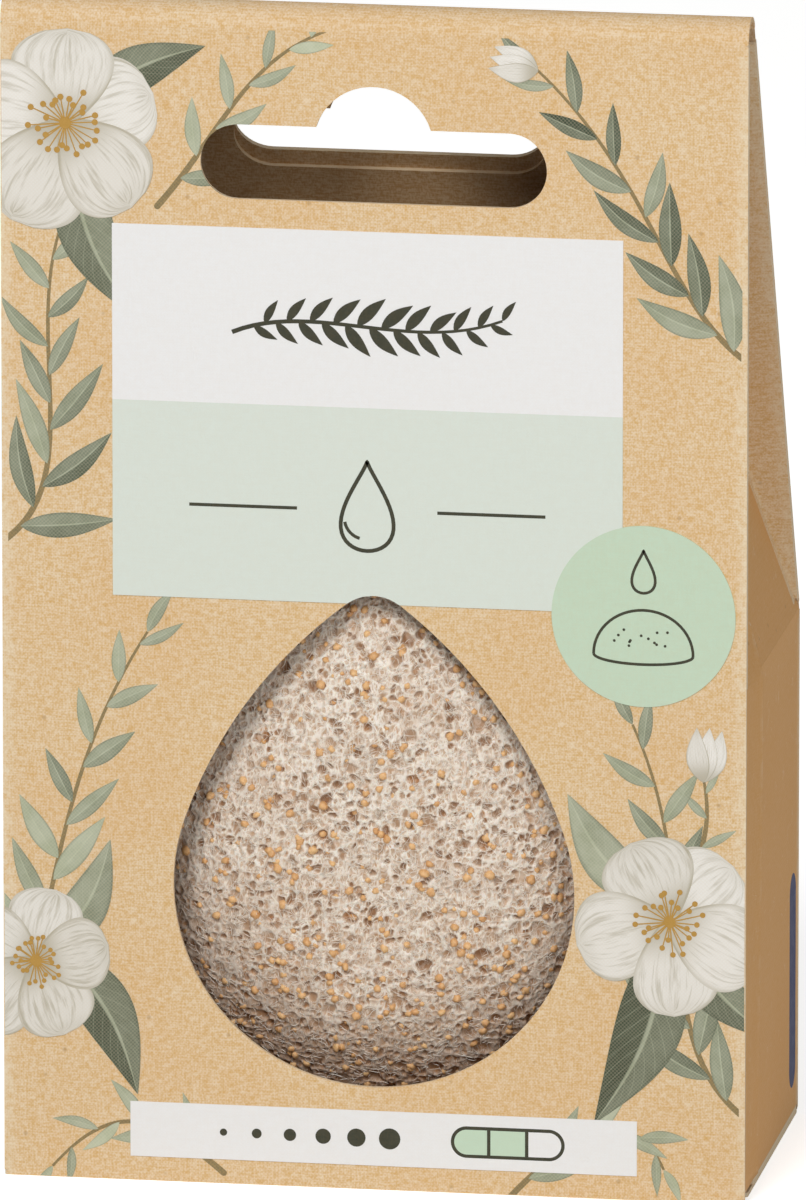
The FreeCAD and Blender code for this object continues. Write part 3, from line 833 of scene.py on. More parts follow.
def lay_pill(bm, low, high, segments=48):
    """Lays a flat pill between two corners of its box."""
    wide, tall = high[0] - low[0], high[1] - low[1]
    radius = min(wide, tall) / 2
    stretch = (wide / 2 - radius, tall / 2 - radius)
    made = bmesh.ops.create_circle(bm, cap_ends=True, segments=segments, radius=radius)
    bmesh.ops.rotate(bm, verts=made["verts"], matrix=Matrix.Rotation(math.pi / segments, 3, "Z"))
    for vert in made["verts"]:
        vert.co.x += math.copysign(stretch[0], vert.co.x) + (low[0] + high[0]) / 2
        vert.co.y += math.copysign(stretch[1], vert.co.y) + (low[1] + high[1]) / 2


def lay_block(bm, low, high, grid):
    """Lays a flat rectangle."""
    for vert, across, up in unit_grid(bm, *grid):
        vert.co.x = low[0] + across * (high[0] - low[0])
        vert.co.y = low[1] + up * (high[1] - low[1])


def curve(points, count=24):
    """Points along a curve with two ends and two handles."""
    return [Vector(point) for point in interpolate_bezier(*(Vector(p) for p in points), count)]


def heading(start, end):
    """The turn of the line from one point to another."""
    ahead = end - start
    return math.atan2(ahead.y, ahead.x)


def ring(centre, across, tall, count=48, start=0.0, stop=360.0):
    """Points along an oval or a part of one."""
    turns = [math.radians(start + (stop - start) * index / count) for index in range(count + 1)]
    return [Vector((centre[0] + across * math.cos(t), centre[1] + tall * math.sin(t))) for t in turns]


def drop_path(centre, half_wide, tall, count=48):
    """Points round a drop with its tip up."""
    points = []
    for index in range(count + 1):
        turn = 2 * math.pi * index / count
        across = half_wide * math.sin(turn) * math.sin(turn / 2) ** 1.5
        points.append(Vector((centre[0] + across, centre[1] + tall / 2 * math.cos(turn))))
    return points


# The label, badge, strip and side bar, in millimetres on their panels.
LABEL_LEFT, LABEL_RIGHT, LABEL_LOW, LABEL_SPLIT, LABEL_HIGH = -24.2, 23.05, 55.4, 73.8, 90.3
LABEL_MIDDLE = (LABEL_LEFT + LABEL_RIGHT) / 2
BADGE_CENTRE, BADGE_RADIUS = (25.0, 55.2), 8.5
STRIP_LOW, STRIP_HIGH = (-22.7, 2.3), (24.5, 7.5)
GAUGE_LOW, GAUGE_HIGH, GAUGE_LINE = (7.2, 3.4), (17.8, 6.4), 0.32
SIDE_BAR_LOW, SIDE_BAR_HIGH = (11.3, 3.4), (15.2, 23.9)
# How wide the drawn lines are.
DROP_LINE, SHORT_LINE, BADGE_LINE = 0.36, 0.3, 0.26
# The label's drawings: how high the sprig lies, its ends and handles about the label's
# middle, and its stem's widths; its longest leaf, and how far in degrees its leaves lean;
# how high the lines beside the drop lie, and the points along them.
LABEL_SPRIG_UP, LABEL_SPRIG = 81.6, ((-12.5, -1.1), (-5, 2.2), (4, -2.6), (12.5, 0.8))
LABEL_STEM_WIDE, LABEL_LEAF, LABEL_LEAF_LEAN = (0.42, 0.24), 3.9, (38, 52)
LABEL_LINES_UP, LABEL_LINES = 64.2, (6.5, 9.0, 11.5, 14.0, 16.5)
# The row of grains on the strip: the first one's centre, their spacing, and their radii.
GRAINS_FROM, GRAINS_APART, GRAINS = (-14.0, 4.9), 3.1, (0.34, 0.46, 0.58, 0.72, 0.86, 1.0)


class KONJAC_OT_label(bpy.types.Operator):
    """Prints the white and mint label, with a plain sprig and a drop."""

    bl_idname = "konjac.label"
    bl_label = "Label"

    def execute(self, context):
        inks = context.scene.konjac_print
        blocks = (
            ("label_white", LABEL_SPLIT, LABEL_HIGH, inks.white, (8, 4)),
            ("label_mint", LABEL_LOW, LABEL_SPLIT, inks.mint, (180, 72)),
        )
        for name, low, high, tint, grid in blocks:
            bm = new_print()
            lay_block(bm, (LABEL_LEFT, low), (LABEL_RIGHT, high), grid)
            finish_ink(name, bm, LABEL_FILM, tint, 0.06)
        bm = new_print()
        rng = random.Random(11)
        stem = curve([(LABEL_MIDDLE + across, LABEL_SPRIG_UP + up) for across, up in LABEL_SPRIG])
        lay_line(bm, stem, *LABEL_STEM_WIDE)
        last = len(stem) - 1
        for index in range(2, len(stem), 2):
            size = LABEL_LEAF - abs(index - last // 2) * 0.15
            for side in (-1, 1):
                spot = stem[min(index + (side > 0), last)]
                turn = heading(stem[index - 1], stem[min(index + 1, last)])
                turn += side * math.radians(rng.uniform(*LABEL_LEAF_LEAN))
                bow, film = side * 0.12, 1 + (side > 0)
                lay_blade(bm, spot, turn, size, size * 0.32, bow, lance, 0.5, film, grid=(10, 4))
        lay_line(bm, drop_path((LABEL_MIDDLE, 64.6), half_wide=3.5, tall=8.4), DROP_LINE)
        glint = ring((LABEL_MIDDLE - 0.2, 63.4), across=1.9, tall=1.9, count=14, start=190, stop=255)
        lay_line(bm, glint, SHORT_LINE)
        for side in (-1, 1):
            run = [Vector((LABEL_MIDDLE + side * reach, LABEL_LINES_UP)) for reach in LABEL_LINES]
            lay_line(bm, run, SHORT_LINE)
        finish_ink("label_drawing", bm, LINE_FILM, inks.line)
        return {"FINISHED"}


class KONJAC_OT_badge(bpy.types.Operator):
    """Prints the round badge with a drop of water above a small sponge."""

    bl_idname = "konjac.badge"
    bl_label = "Badge"

    def execute(self, context):
        inks = context.scene.konjac_print
        bm = new_print()
        lay_dot(bm, BADGE_CENTRE, BADGE_RADIUS, segments=128)
        finish_ink("badge_round", bm, BADGE_FILM, inks.badge, 0.10)
        bm = new_print()
        x, z = BADGE_CENTRE
        foot = (x, z - 3.6)
        lay_line(bm, ring(foot, across=4.6, tall=4.2, count=30, stop=180), BADGE_LINE)
        lay_line(bm, ring(foot, across=4.6, tall=0.9, count=30, start=180), BADGE_LINE)
        lay_line(bm, drop_path((x, z + 4.2), half_wide=1.55, tall=4.0, count=36), BADGE_LINE)
        rng = random.Random(4)
        for _ in range(13):
            turn, reach = rng.uniform(0.25, 2.9), rng.uniform(0.35, 0.85)
            pore = (x + 4.0 * reach * math.cos(turn), z - 3.5 + 3.5 * reach * math.sin(turn))
            lay_dot(bm, pore, 0.13)
        finish_ink("badge_drawing", bm, LINE_FILM, inks.line)
        return {"FINISHED"}


class KONJAC_OT_strip(bpy.types.Operator):
    """Prints the strip at the foot, with its gauge of three cells and a row of grains."""

    bl_idname = "konjac.strip"
    bl_label = "Strip and gauge"

    def execute(self, context):
        inks = context.scene.konjac_print
        bm = new_print()
        lay_block(bm, STRIP_LOW, STRIP_HIGH, (4, 1))
        finish_ink("strip_white", bm, LABEL_FILM, inks.white, 0.06)
        bm = new_print()
        lay_pill(bm, GAUGE_LOW, GAUGE_HIGH)
        finish_ink("gauge_line", bm, BADGE_FILM, inks.line)
        cells = (("gauge_first", inks.badge), ("gauge_second", inks.badge), ("gauge_third", inks.white))
        wide = (GAUGE_HIGH[0] - GAUGE_LOW[0]) / len(cells)
        inner_low = [side + GAUGE_LINE for side in GAUGE_LOW]
        inner_high = [side - GAUGE_LINE for side in GAUGE_HIGH]
        for index, (name, tint) in enumerate(cells):
            bm = new_print()
            lay_pill(bm, inner_low, inner_high)
            low = GAUGE_LOW[0] + wide * index + (GAUGE_LINE / 2 if index else 0)
            high = GAUGE_LOW[0] + wide * (index + 1) - (GAUGE_LINE / 2 if index < 2 else 0)
            edges = ((low, GAUGE_LOW[1]), (high, GAUGE_HIGH[1]))
            finish_ink(name, bm, CELL_FILM, tint, 0.05, edges=edges)
        bm = new_print()
        for index, radius in enumerate(GRAINS):
            centre = (GRAINS_FROM[0] + index * GRAINS_APART, GRAINS_FROM[1])
            lay_dot(bm, centre, radius, segments=24)
        finish_ink("strip_grains", bm, LINE_FILM, inks.line)
        return {"FINISHED"}


# Widths of a stem and of a stamen, from root to tip, in millimetres.
STEM_WIDE, STAMEN_WIDE = (0.6, 0.24), (0.13, 0.1)
# By chance: how far a leaf leans from its stem in degrees, how its size and tone differ,
# and its width and bow as shares of its size.
LEAF_LEAN, LEAF_SIZE, LEAF_TONE = (24, 46), (0.82, 1.05), (-0.28, 0.28)
LEAF_WIDE, LEAF_BOW = (0.24, 0.31), (-0.02, 0.07)
# By chance: a petal's and a stamen's turn in degrees, their lengths and the petal's width
# as shares of the blossom's radius, and the petal's bow in millimetres.
PETAL_TURN, PETAL_LONG, PETAL_WIDE, PETAL_BOW = (-7, 7), (0.93, 1.05), (0.84, 0.95), (-0.4, 0.4)
STAMEN_TURN, STAMEN_LONG, STAMEN_HEAD = (-6, 6), (0.16, 0.34), 0.028

# The sprigs, in millimetres on the front: a stem's two ends and handles, how many leaves,
# the longest leaf, the leaves' tone from dark 0 to pale 1, and a seed.
SPRIGS = (
    (((-34.5, 60), (-26, 66), (-33, 80), (-28.5, 91)), 12, 9.5, 0.45, 1),
    (((-20, 92), (-14, 99), (-12, 106), (-4, 109)), 8, 7.0, 0.75, 2),
    (((34.8, 8), (25, 15), (31, 30), (24, 45)), 13, 9.0, 0.40, 3),
    (((-35, 12), (-29, 22), (-31, 36), (-21, 52)), 15, 9.5, 0.62, 4),
    (((35, 79), (27, 84), (26, 96), (15, 106)), 12, 9.5, 0.30, 5),
    (((-14, 1), (-20, 6), (-24, 8), (-30, 1)), 6, 6.5, 0.80, 6),
    (((12, -1), (17, 5), (24, 10), (27, 3)), 7, 7.0, 0.85, 7),
    (((28.6, 30), (31.5, 34), (31, 38), (30.6, 40)), 3, 5.0, 0.55, 8),
)
# Broad single leaves: base, turn in degrees, length, width, bow, tone.
BROAD_LEAVES = (
    ((-29, 98), 205, 15, 5.2, 1.2, 0.05),
    ((-28, 97), 292, 17, 5.6, -1.5, 0.22),
    ((-27, 101), 28, 13, 4.6, 0.9, 0.10),
    ((27, 25), 250, 19, 6.6, 1.6, 0.02),
    ((28, 26), 312, 14, 5.0, -1.0, 0.18),
    ((26, 28), 128, 13, 4.6, 1.0, 0.65),
    ((-30, 22), 300, 16, 5.6, 1.4, 0.05),
    ((-31, 21), 60, 13, 4.4, -1.2, 0.50),
)
# Blossoms: centre, radius, first petal's turn in degrees, squash of the far side.
BLOSSOMS = (
    ((-28.5, 99.5), 10.5, 20, 0.86),
    ((27.5, 26.5), 9.5, 50, 0.90),
    ((-31.5, 20.5), 8.0, 80, 0.92),
)
BUDS = (((30.6, 39.8), 84, 5.2), ((15.2, 105.8), 165, 4.6))
STEM_POINTS = 40
PETALS, STAMENS = 5, 26


class KONJAC_OT_sprigs(bpy.types.Operator):
    """Prints slim-leaved sprigs and five-petalled blossoms on the front."""

    bl_idname = "konjac.sprigs"
    bl_label = "Sprigs and blossoms"

    def execute(self, context):
        inks = context.scene.konjac_print
        stems, leaves, petals, hearts = (new_print() for _ in range(4))
        last = STEM_POINTS - 1
        for points, count, longest, tone, seed in SPRIGS:
            rng = random.Random(seed)
            path = curve(points, STEM_POINTS)
            lay_line(stems, path, *STEM_WIDE, tone=rng.random())
            lay_dot(stems, path[0], 0.3, 0.5)
            for index in range(count):
                share = (index + 1.2) / (count + 1)
                spot = min(last, int(share * STEM_POINTS))
                side = 1 if index % 2 else -1
                turn = heading(path[spot - 1], path[min(spot + 1, last)])
                turn += side * math.radians(rng.uniform(*LEAF_LEAN))
                size = longest * (1 - 0.45 * share) * rng.uniform(*LEAF_SIZE)
                shade = clamp(tone + rng.uniform(*LEAF_TONE))
                wide, bow = size * rng.uniform(*LEAF_WIDE), side * size * rng.uniform(*LEAF_BOW)
                film = index % LEAF_FILMS
                lay_blade(leaves, path[spot], turn, size, wide, bow, lance, shade, film)
            turn, film = heading(path[-3], path[-1]), count % LEAF_FILMS
            lay_blade(leaves, path[-1], turn, longest * 0.5, longest * 0.14, 0.2, lance, tone, film)
        for film, (base, turn, long, wide, bend, tone) in enumerate(BROAD_LEAVES, BROAD_FILM - LEAF_FILM):
            turn = math.radians(turn)
            lay_blade(leaves, base, turn, long, wide, bend, lance, tone, film, grid=(28, 10))
        for index, (centre, radius, first, squash) in enumerate(BLOSSOMS):
            rng = random.Random(30 + index)
            for petal in range(PETALS):
                turn = math.radians(first + petal * 360 / PETALS + rng.uniform(*PETAL_TURN))
                long = radius * rng.uniform(*PETAL_LONG) * (squash if math.sin(turn) > 0 else 1)
                wide, bow = radius * rng.uniform(*PETAL_WIDE), rng.uniform(*PETAL_BOW)
                tone, film = rng.uniform(0.0, 1.0), (petal * 2) % PETAL_FILMS
                lay_blade(
                    petals, centre, turn, long, wide, bow, round_petal, tone, film, notch=0.07, grid=(26, 16)
                )
            for stamen in range(STAMENS):
                turn = math.radians(stamen * 360 / STAMENS + rng.uniform(*STAMEN_TURN))
                reach = radius * rng.uniform(*STAMEN_LONG)
                tip = Vector(centre) + Vector((math.cos(turn), math.sin(turn))) * reach
                root = Vector(centre) + (tip - Vector(centre)).normalized() * 0.5
                lay_line(hearts, [root, (root + tip) / 2, tip], *STAMEN_WIDE, film=stamen % 3)
                lay_dot(hearts, tip, radius * STAMEN_HEAD, 4 + stamen % 3, 9)
            lay_dot(hearts, centre, 0.55, 8, 16)
        for base, turn, long in BUDS:
            for side, tone in ((-1, 0.2), (1, 0.6), (0, 0.0)):
                aside, film = math.radians(turn + side * 13), 3 + side * 3
                lay_blade(
                    petals, base, aside, long, long * 0.42, side * 0.3, lance, tone, film, grid=(16, 8)
                )
        finish_ink("sprig_stems", stems, STEM_FILM, inks.stem, 0.3)
        finish_print("sprig_leaves", leaves, LEAF_FILM, printed_leaf(inks))
        finish_print("sprig_petals", petals, PETAL_FILM, printed_petal(inks))
        finish_ink("sprig_hearts", hearts, HEART_FILM, inks.heart, 0.2)
        return {"FINISHED"}


class KONJAC_OT_side_bar(bpy.types.Operator):
    """Prints the plain pill-shaped bar on the right side."""

    bl_idname = "konjac.side_bar"
    bl_label = "Side bar"

    def execute(self, context):
        bar = context.scene.konjac_print.bar
        bm = new_print()
        lay_pill(bm, SIDE_BAR_LOW, SIDE_BAR_HIGH)
        finish_ink("side_bar", bm, SIDE_FILM, bar, 0.05, face=RIGHT_SIDE, edges=None, openings=())
        return {"FINISHED"}


# Sponge

# Large pores by kind: radius from and to in millimetres, and how many tries. The largest
# come first and keep the others away.
PORES = ((0.50, 0.78, 1100), (0.32, 0.50, 9000), (0.23, 0.32, 14000))
PORE_SPACING_SHARE = 1.02
# How open a pore is, one of these by chance, and how wide and high its rim is.
PORE_OPENNESS = (0.08, 0.14, 0.2, 0.26, 0.34, 0.44, 0.6, 0.95)
PORE_RIM_MM, PORE_RIM_LIFT_MM = 0.11, 0.05
# Cells by kind: size and depth in millimetres, the share that is open, and the width and
# weight of the strands between them, as shares.
CELLS = ((0.72, 0.16, 0.24, 0.13, 1.0), (0.38, 0.07, 0.10, 0.20, 0.5))
# How the cells are bent: size of each noise and how far it pushes, in millimetres.
CELL_BENDS_MM = ((0.9, 0.22), (0.4, 0.08))
# These make one number from a cell's seed point. It decides whether the cell is open.
CELL_DICE, CELL_DICE_SPREAD = Vector((12.99, 78.23, 37.72)), 43.75
# A cell's floor rises from its walls: where the slope begins, and how wide it is.
CELL_WALL, CELL_SLOPE = 0.03, 0.16
# The most that a pore is narrowed one way, and how far its points are looked for.
PORE_PULL, PORE_REACH = 0.42, 1.4
# The foam's slow swelling: its size and height, and how far all of it sinks.
SWELL_MM, SWELL_HIGH_MM, SWELL_SINK_MM = 1.6, 0.06, 0.05
# How far beside the window the fine foam goes on, and the most that a shown point's normal
# has along Y.
WINDOW_MARGIN_MM, FACING_FRONT = 2.5, -0.1
FINE_CUTS = 3

# How far behind its front the painted recess shade starts to brown the foam, and where it is brownest.
RECESS_SHADE_FROM_MM, RECESS_SHADE_TO_MM = 1.2, 8.0
# Layers of strands in the foam: turn, spacing in millimetres, thinness and weight.
STRANDS = ((0.0, 1.3, 0.024, 1.0), (1.1, 0.9, 0.030, 0.95), (2.3, 0.7, 0.036, 0.9))

# Granules and fibres keep this far behind the front panel's inside.
CLEARANCE_MM = 0.05
# A full turn in radians, near enough for a turn by chance.
FULL_TURN = 6.28
# Granules: their sizes as shares of the set width, the drop's share of its box, and how
# much more area the dome has than its outline.
GRANULE_SIZES = (0.6, 0.75, 0.85, 0.95, 1.0, 1.1)
DROP_SHARE, DOME_SHARE = 0.85, 1.25
# By chance: how deep a granule is sunk as a share of its radius, how long each of its sides
# is, and how far its points stand out.
GRANULE_SUNK, GRANULE_DENTED = (0.05, 0.55), (-0.2, 0.2)
GRANULE_SIDES = ((0.8, 1.15), (0.75, 1.05), (0.7, 1.0))
FIBRES, FIBRE_STEPS = 4200, 4
# By chance: how far a fibre bends at each step, how long the step is, and how deep it lies.
FIBRE_BEND, FIBRE_STEP_MM, FIBRE_SUNK_MM = (-0.5, 0.5), (0.12, 0.34), (0.0, 0.10)


def foam_material(settings):
    """Dried konjac foam: an open, matt web of whitish strands over translucent tan cells, with a thin skin in
    most pores. The open pores are painted dark as shade, the skinned ones take their own tan with painted
    shade of the hollow under it, and the foam is painted browner towards its edge as shade."""
    material, tree, surface, where = new_material("konjac_foam")
    pore, web = (add(tree, "Attribute", out="Fac", attribute_name=name) for name in ("pore", "web"))
    # Strands are thin bent lines, where a noise crosses its middle value. The finest are
    # about 0.03 mm wide; they are drawn at 0.08 mm so that they show.
    lines = 0.0
    for turn, spacing, thin, weight in STRANDS:
        turned = add(tree, "Mapping", {
            "Vector": where, "Location": (turn * 0.01, 0.0, 0.0),
            "Rotation": (turn, turn * 1.7, turn * 0.6), "Scale": (1.0, 1.0, 0.5),
        })
        inputs = {
            "Vector": turned, "Scale": per_mm(spacing),
            "Detail": 1.5, "Roughness": 0.45, "Distortion": 0.5,
        }
        line = bent_lines(tree, inputs, (thin, thin * 0.2, 0.0, weight))
        lines = add(tree, "Math", (line, lines), operation="MAXIMUM")
    patch = patches(tree, where, 7.0 * MM, 5.0, (0.38, 0.7, 0.0, 0.5), 0.6)
    # Painted shade: towards its edge, where it stands back from the window, the foam is coloured browner for
    # the shade in that recess.
    depth = add(tree, "SeparateXYZ", (where,), out="Y")
    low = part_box("sponge")[0].y
    span = (low + RECESS_SHADE_FROM_MM * MM, low + RECESS_SHADE_TO_MM * MM, 0.0, 0.8)
    painted_recess_shade = add(tree, "MapRange", (depth, *span), **SOFT)
    # Strands cover the foam, less over open pores, in darker patches and under the painted recess shade
    # towards the edge.
    strand = add(tree, "Math", (web, 0.95), **TIMES)
    strand = add(tree, "Math", (strand, lines), operation="MAXIMUM")
    for share in (
        add(tree, "MapRange", (pore, 0.05, 0.7, 1.0, 0.28), **SOFT),
        add(tree, "Math", (patch, -0.5, 1.0), operation="MULTIPLY_ADD"),
        add(tree, "Math", (painted_recess_shade, -0.75, 1.0), operation="MULTIPLY_ADD"),
    ):
        strand = add(tree, "Math", (strand, share), **TIMES)
    shade = lay_colours(tree, settings.body, (
        (patch, settings.shade),
        # The skinned pores: their own tan and painted shade of the hollow under the skin.
        (add(tree, "MapRange", (pore, 0.04, 0.48, 0.0, 0.88), **SOFT), settings.shade),
        # Painted shade in the open pores.
        (add(tree, "MapRange", (pore, 0.4, 0.9, 0.0, 0.9), **SOFT), settings.hollow),
        # Painted recess shade towards the foam's edge.
        (painted_recess_shade, settings.edge),
        # Ground shell under the skin tints some cells golden.
        (patches(tree, where, 1.5 * MM, 2.0, (0.58, 0.68, 0.0, 0.5)), settings.granule_dark),
        (strand, settings.strand),
    ))
    set_inputs(tree, surface, {
        "Base Color": shade,
        "Roughness": 0.8,
        "Specular IOR Level": 0.35,
        "Subsurface Weight": 0.25,
        "Subsurface Radius": (0.5 * MM, 0.38 * MM, 0.26 * MM),
        "Subsurface Scale": 1.0,
        "Normal": add(tree, "Bump", {"Height": strand, "Strength": 0.5, "Distance": 0.05 * MM}),
    })
    return material


def granule_material(settings):
    """Ground nut shell: hard, waxy crumbs in golden tan, darker where they are cracked."""
    material, tree, surface, where = new_material("nut_shell")
    crack = patches(tree, where, 0.35 * MM, 4.0, (0.4, 0.68, 0.0, 1.0), 0.7)
    tone = add(tree, "Attribute", out="Fac", attribute_name="tone")
    dark = weighted_sum(tree, ((tone, 0.45), (crack, 0.45)))
    set_inputs(tree, surface, {
        "Base Color": add(tree, "Mix", {0: dark, 6: settings.granule, 7: settings.granule_dark}, **MIX),
        "Roughness": 0.5,
        "Subsurface Weight": 0.15,
        "Subsurface Radius": (0.4 * MM, 0.25 * MM, 0.1 * MM),
        "Subsurface Scale": 1.0,
        "Normal": add(tree, "Bump", {"Height": crack, "Strength": 0.4, "Distance": 0.04 * MM}),
    })
    return material


def fibre_material(settings):
    """Loose konjac fibres: thin, whitish and slightly glossy."""
    material, tree, surface, where = new_material("konjac_fibre")
    tone_share = patches(tree, where, 0.6 * MM, 3.0, (0.4, 0.7, 0.0, 0.6))
    set_inputs(tree, surface, {
        "Base Color": add(tree, "Mix", {0: tone_share, 6: settings.strand, 7: settings.body}, **MIX),
        "Roughness": 0.45,
    })
    return material


def even_foam(step):
    """The sponge's own solid, meshed evenly."""
    bm = bmesh.new()
    bm.from_mesh(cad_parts["sponge"].data)
    bmesh.ops.remove_doubles(bm, verts=bm.verts, dist=SAME_POINT)
    bmesh.ops.recalc_face_normals(bm, faces=bm.faces)
    mesh = mesh_of("even_foam", bm)
    solid = place_new("even_foam", mesh)
    remesh = solid.modifiers.new("even", "REMESH")
    remesh.mode = "VOXEL"
    remesh.voxel_size = step
    evaluated = solid.evaluated_get(bpy.context.evaluated_depsgraph_get())
    bm = bmesh.new()
    bm.from_mesh(evaluated.to_mesh())
    evaluated.to_mesh_clear()
    bpy.data.objects.remove(solid)
    bpy.data.meshes.remove(mesh)
    all_ways = {"use_axis_x": True, "use_axis_y": True, "use_axis_z": True}
    bmesh.ops.smooth_vert(bm, verts=bm.verts, factor=0.5, **all_ways)
    bm.normal_update()
    return bm


def behind_window(places):
    """Which places lie behind the window or just beside it."""
    flat = np.array([(place.x, place.z) for place in places]) / MM
    return inside_rim(flat, WINDOW_RIM) | (nearest_on_rim(flat, WINDOW_RIM)[1] < WINDOW_MARGIN_MM)


def choose_pores(spots, rng):
    """Picks pore centres that keep their distance from each other."""
    cell = 2 * PORES[0][1] * MM
    shifts = [(a, b, c) for a in (-1, 0, 1) for b in (-1, 0, 1) for c in (-1, 0, 1)]
    kept, shelves = [], {}
    for low, high, tries in PORES:
        for _ in range(tries):
            spot, normal = spots[rng.randrange(len(spots))]
            radius = rng.uniform(low, high) * MM
            centre = spot + Vector([rng.uniform(-0.25, 0.25) * MM for _ in range(3)])
            key = tuple(math.floor(part / cell) for part in centre)
            around = (tuple(part + step for part, step in zip(key, shift)) for shift in shifts)
            near = (entry for shelf in around for entry in shelves.get(shelf, ()))
            if all((other - centre).length >= (reach + radius) * PORE_SPACING_SHARE for other, reach in near):
                shelves.setdefault(key, []).append((centre, radius))
                kept.append((centre, normal, radius))
    return kept


def foam_relief(points, spots, rng):
    """How deep each point of the foam sinks, how open its pore is, and how much of it is
    strand. Cells are the spaces between random seeds; some are open, most are covered by a
    thin skin. Larger pores are pressed in on top."""
    count = len(points)
    tree = kdtree.KDTree(count)
    depth, pore, web = np.zeros(count), np.zeros(count), np.zeros(count)
    for index in range(count):
        spot = Vector(points[index])
        for size, push in CELL_BENDS_MM:
            spot += noise.noise_vector(spot / (size * MM)) * push * MM
        tree.insert(spot, index)
        for size, sink, open_below, wide, weight in CELLS:
            near, seeds = noise.voronoi(spot / (size * MM))
            from_edge = (near[1] - near[0]) / 2
            dice = (seeds[0].dot(CELL_DICE) * CELL_DICE_SPREAD) % 1.0
            inner = clamp((from_edge - CELL_WALL) / CELL_SLOPE)
            inner *= inner * (3 - 2 * inner)
            openness = 1.0 if dice < open_below else 0.25 * dice
            depth[index] += inner * sink * MM * (0.3 + 1.6 * openness)
            pore[index] = max(pore[index], inner * openness * 0.75 * weight)
            web[index] = max(web[index], weight * (1 - min(1.0, from_edge / wide)))
    tree.balance()
    for centre, normal, radius in choose_pores(spots, rng):
        stretch = Vector([rng.uniform(-1, 1) for _ in range(3)]).normalized()
        pull, openness = rng.uniform(0.0, PORE_PULL), rng.choice(PORE_OPENNESS)
        rim_wide = min(0.4, PORE_RIM_MM * MM / radius)
        for spot, index, _ in tree.find_range(centre, radius * PORE_REACH):
            away = spot - centre
            away -= normal * away.dot(normal)
            away -= stretch * away.dot(stretch) * pull
            share = away.length / radius
            if share < 1:
                inner = (1 - share ** 3) ** 0.7
                depth[index] = max(depth[index], radius * (0.16 + 0.7 * openness) * inner)
                pore[index] = max(pore[index] * (1 - inner), openness * inner)
                web[index] *= 1 - inner * (0.4 + 0.6 * openness)
            elif share < 1 + rim_wide:
                rim = math.sin(math.pi * (share - 1) / rim_wide)
                web[index] = max(web[index], rim * 0.9)
                depth[index] -= rim * PORE_RIM_LIFT_MM * MM
    return depth, pore, web


class KONJAC_OT_sponge(bpy.types.Operator):
    """Makes the sponge's open foam, with real pores where the window shows it."""

    bl_idname = "konjac.sponge"
    bl_label = "Sponge foam"

    def execute(self, context):
        settings = context.scene.konjac_sponge
        rng = random.Random(5)
        # The noise that bends the cells has a seed of its own.
        noise.seed_set(5)
        bm = even_foam(settings.coarse_step)
        verts = list(bm.verts)
        spots = [(vert.co.copy(), vert.normal.copy()) for vert in verts]
        shown = behind_window([vert.co for vert in verts])
        seen = {vert for vert, inside in zip(verts, shown) if inside and vert.normal.y < FACING_FRONT}
        edges = [edge for edge in bm.edges if edge.verts[0] in seen and edge.verts[1] in seen]
        bmesh.ops.subdivide_edges(bm, edges=edges, cuts=FINE_CUTS, use_grid_fill=True)
        bm.normal_update()
        points = np.array([vert.co for vert in bm.verts])
        normals = np.array([vert.normal for vert in bm.verts])
        depth, pore, web = foam_relief(points, spots, rng)
        swell = np.array([noise.fractal(Vector(point) / (SWELL_MM * MM), 1.0, 2.0, 3) for point in points])
        lift = swell * SWELL_HIGH_MM * MM - SWELL_SINK_MM * MM - depth
        points += normals * lift[:, None]
        for vert, point in zip(bm.verts, points):
            vert.co = point
        foam = make_piece("sponge_foam", bm, foam_material(settings), "sponge", smooth=True)
        for name, values in (("pore", pore), ("web", web)):
            attribute = foam.data.attributes.new(name, "FLOAT", "POINT")
            attribute.data.foreach_set("value", values.astype(np.float32))
        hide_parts("sponge")
        return {"FINISHED"}


def copies(bm, wanted):
    """Repeats what a bmesh holds, and gives the points of each copy. It goes through a mesh
    first, because that puts the points in order."""
    mesh = bpy.data.meshes.new("one_copy")
    bm.to_mesh(mesh)
    bm.clear()
    bm.from_mesh(mesh)
    bpy.data.meshes.remove(mesh)
    each = len(bm.verts)
    while len(bm.verts) < each * wanted:
        bmesh.ops.duplicate(bm, geom=bm.verts[:] + bm.edges[:] + bm.faces[:])
    verts = list(bm.verts)
    bmesh.ops.delete(bm, geom=verts[each * wanted:], context="VERTS")
    return [verts[start:start + each] for start in range(0, each * wanted, each)]


def scatter_on(faces, count, rng):
    """The middles and normals of random faces, larger ones more often. Each face is given as
    its area, middle and normal."""
    areas = np.cumsum([face[0] for face in faces])
    return [faces[int(np.searchsorted(areas, rng.random() * areas[-1]))][1:] for _ in range(count)]


def nearest_front():
    """How far to the front a granule or fibre may reach."""
    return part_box("front_panel")[1].y + CLEARANCE_MM * MM


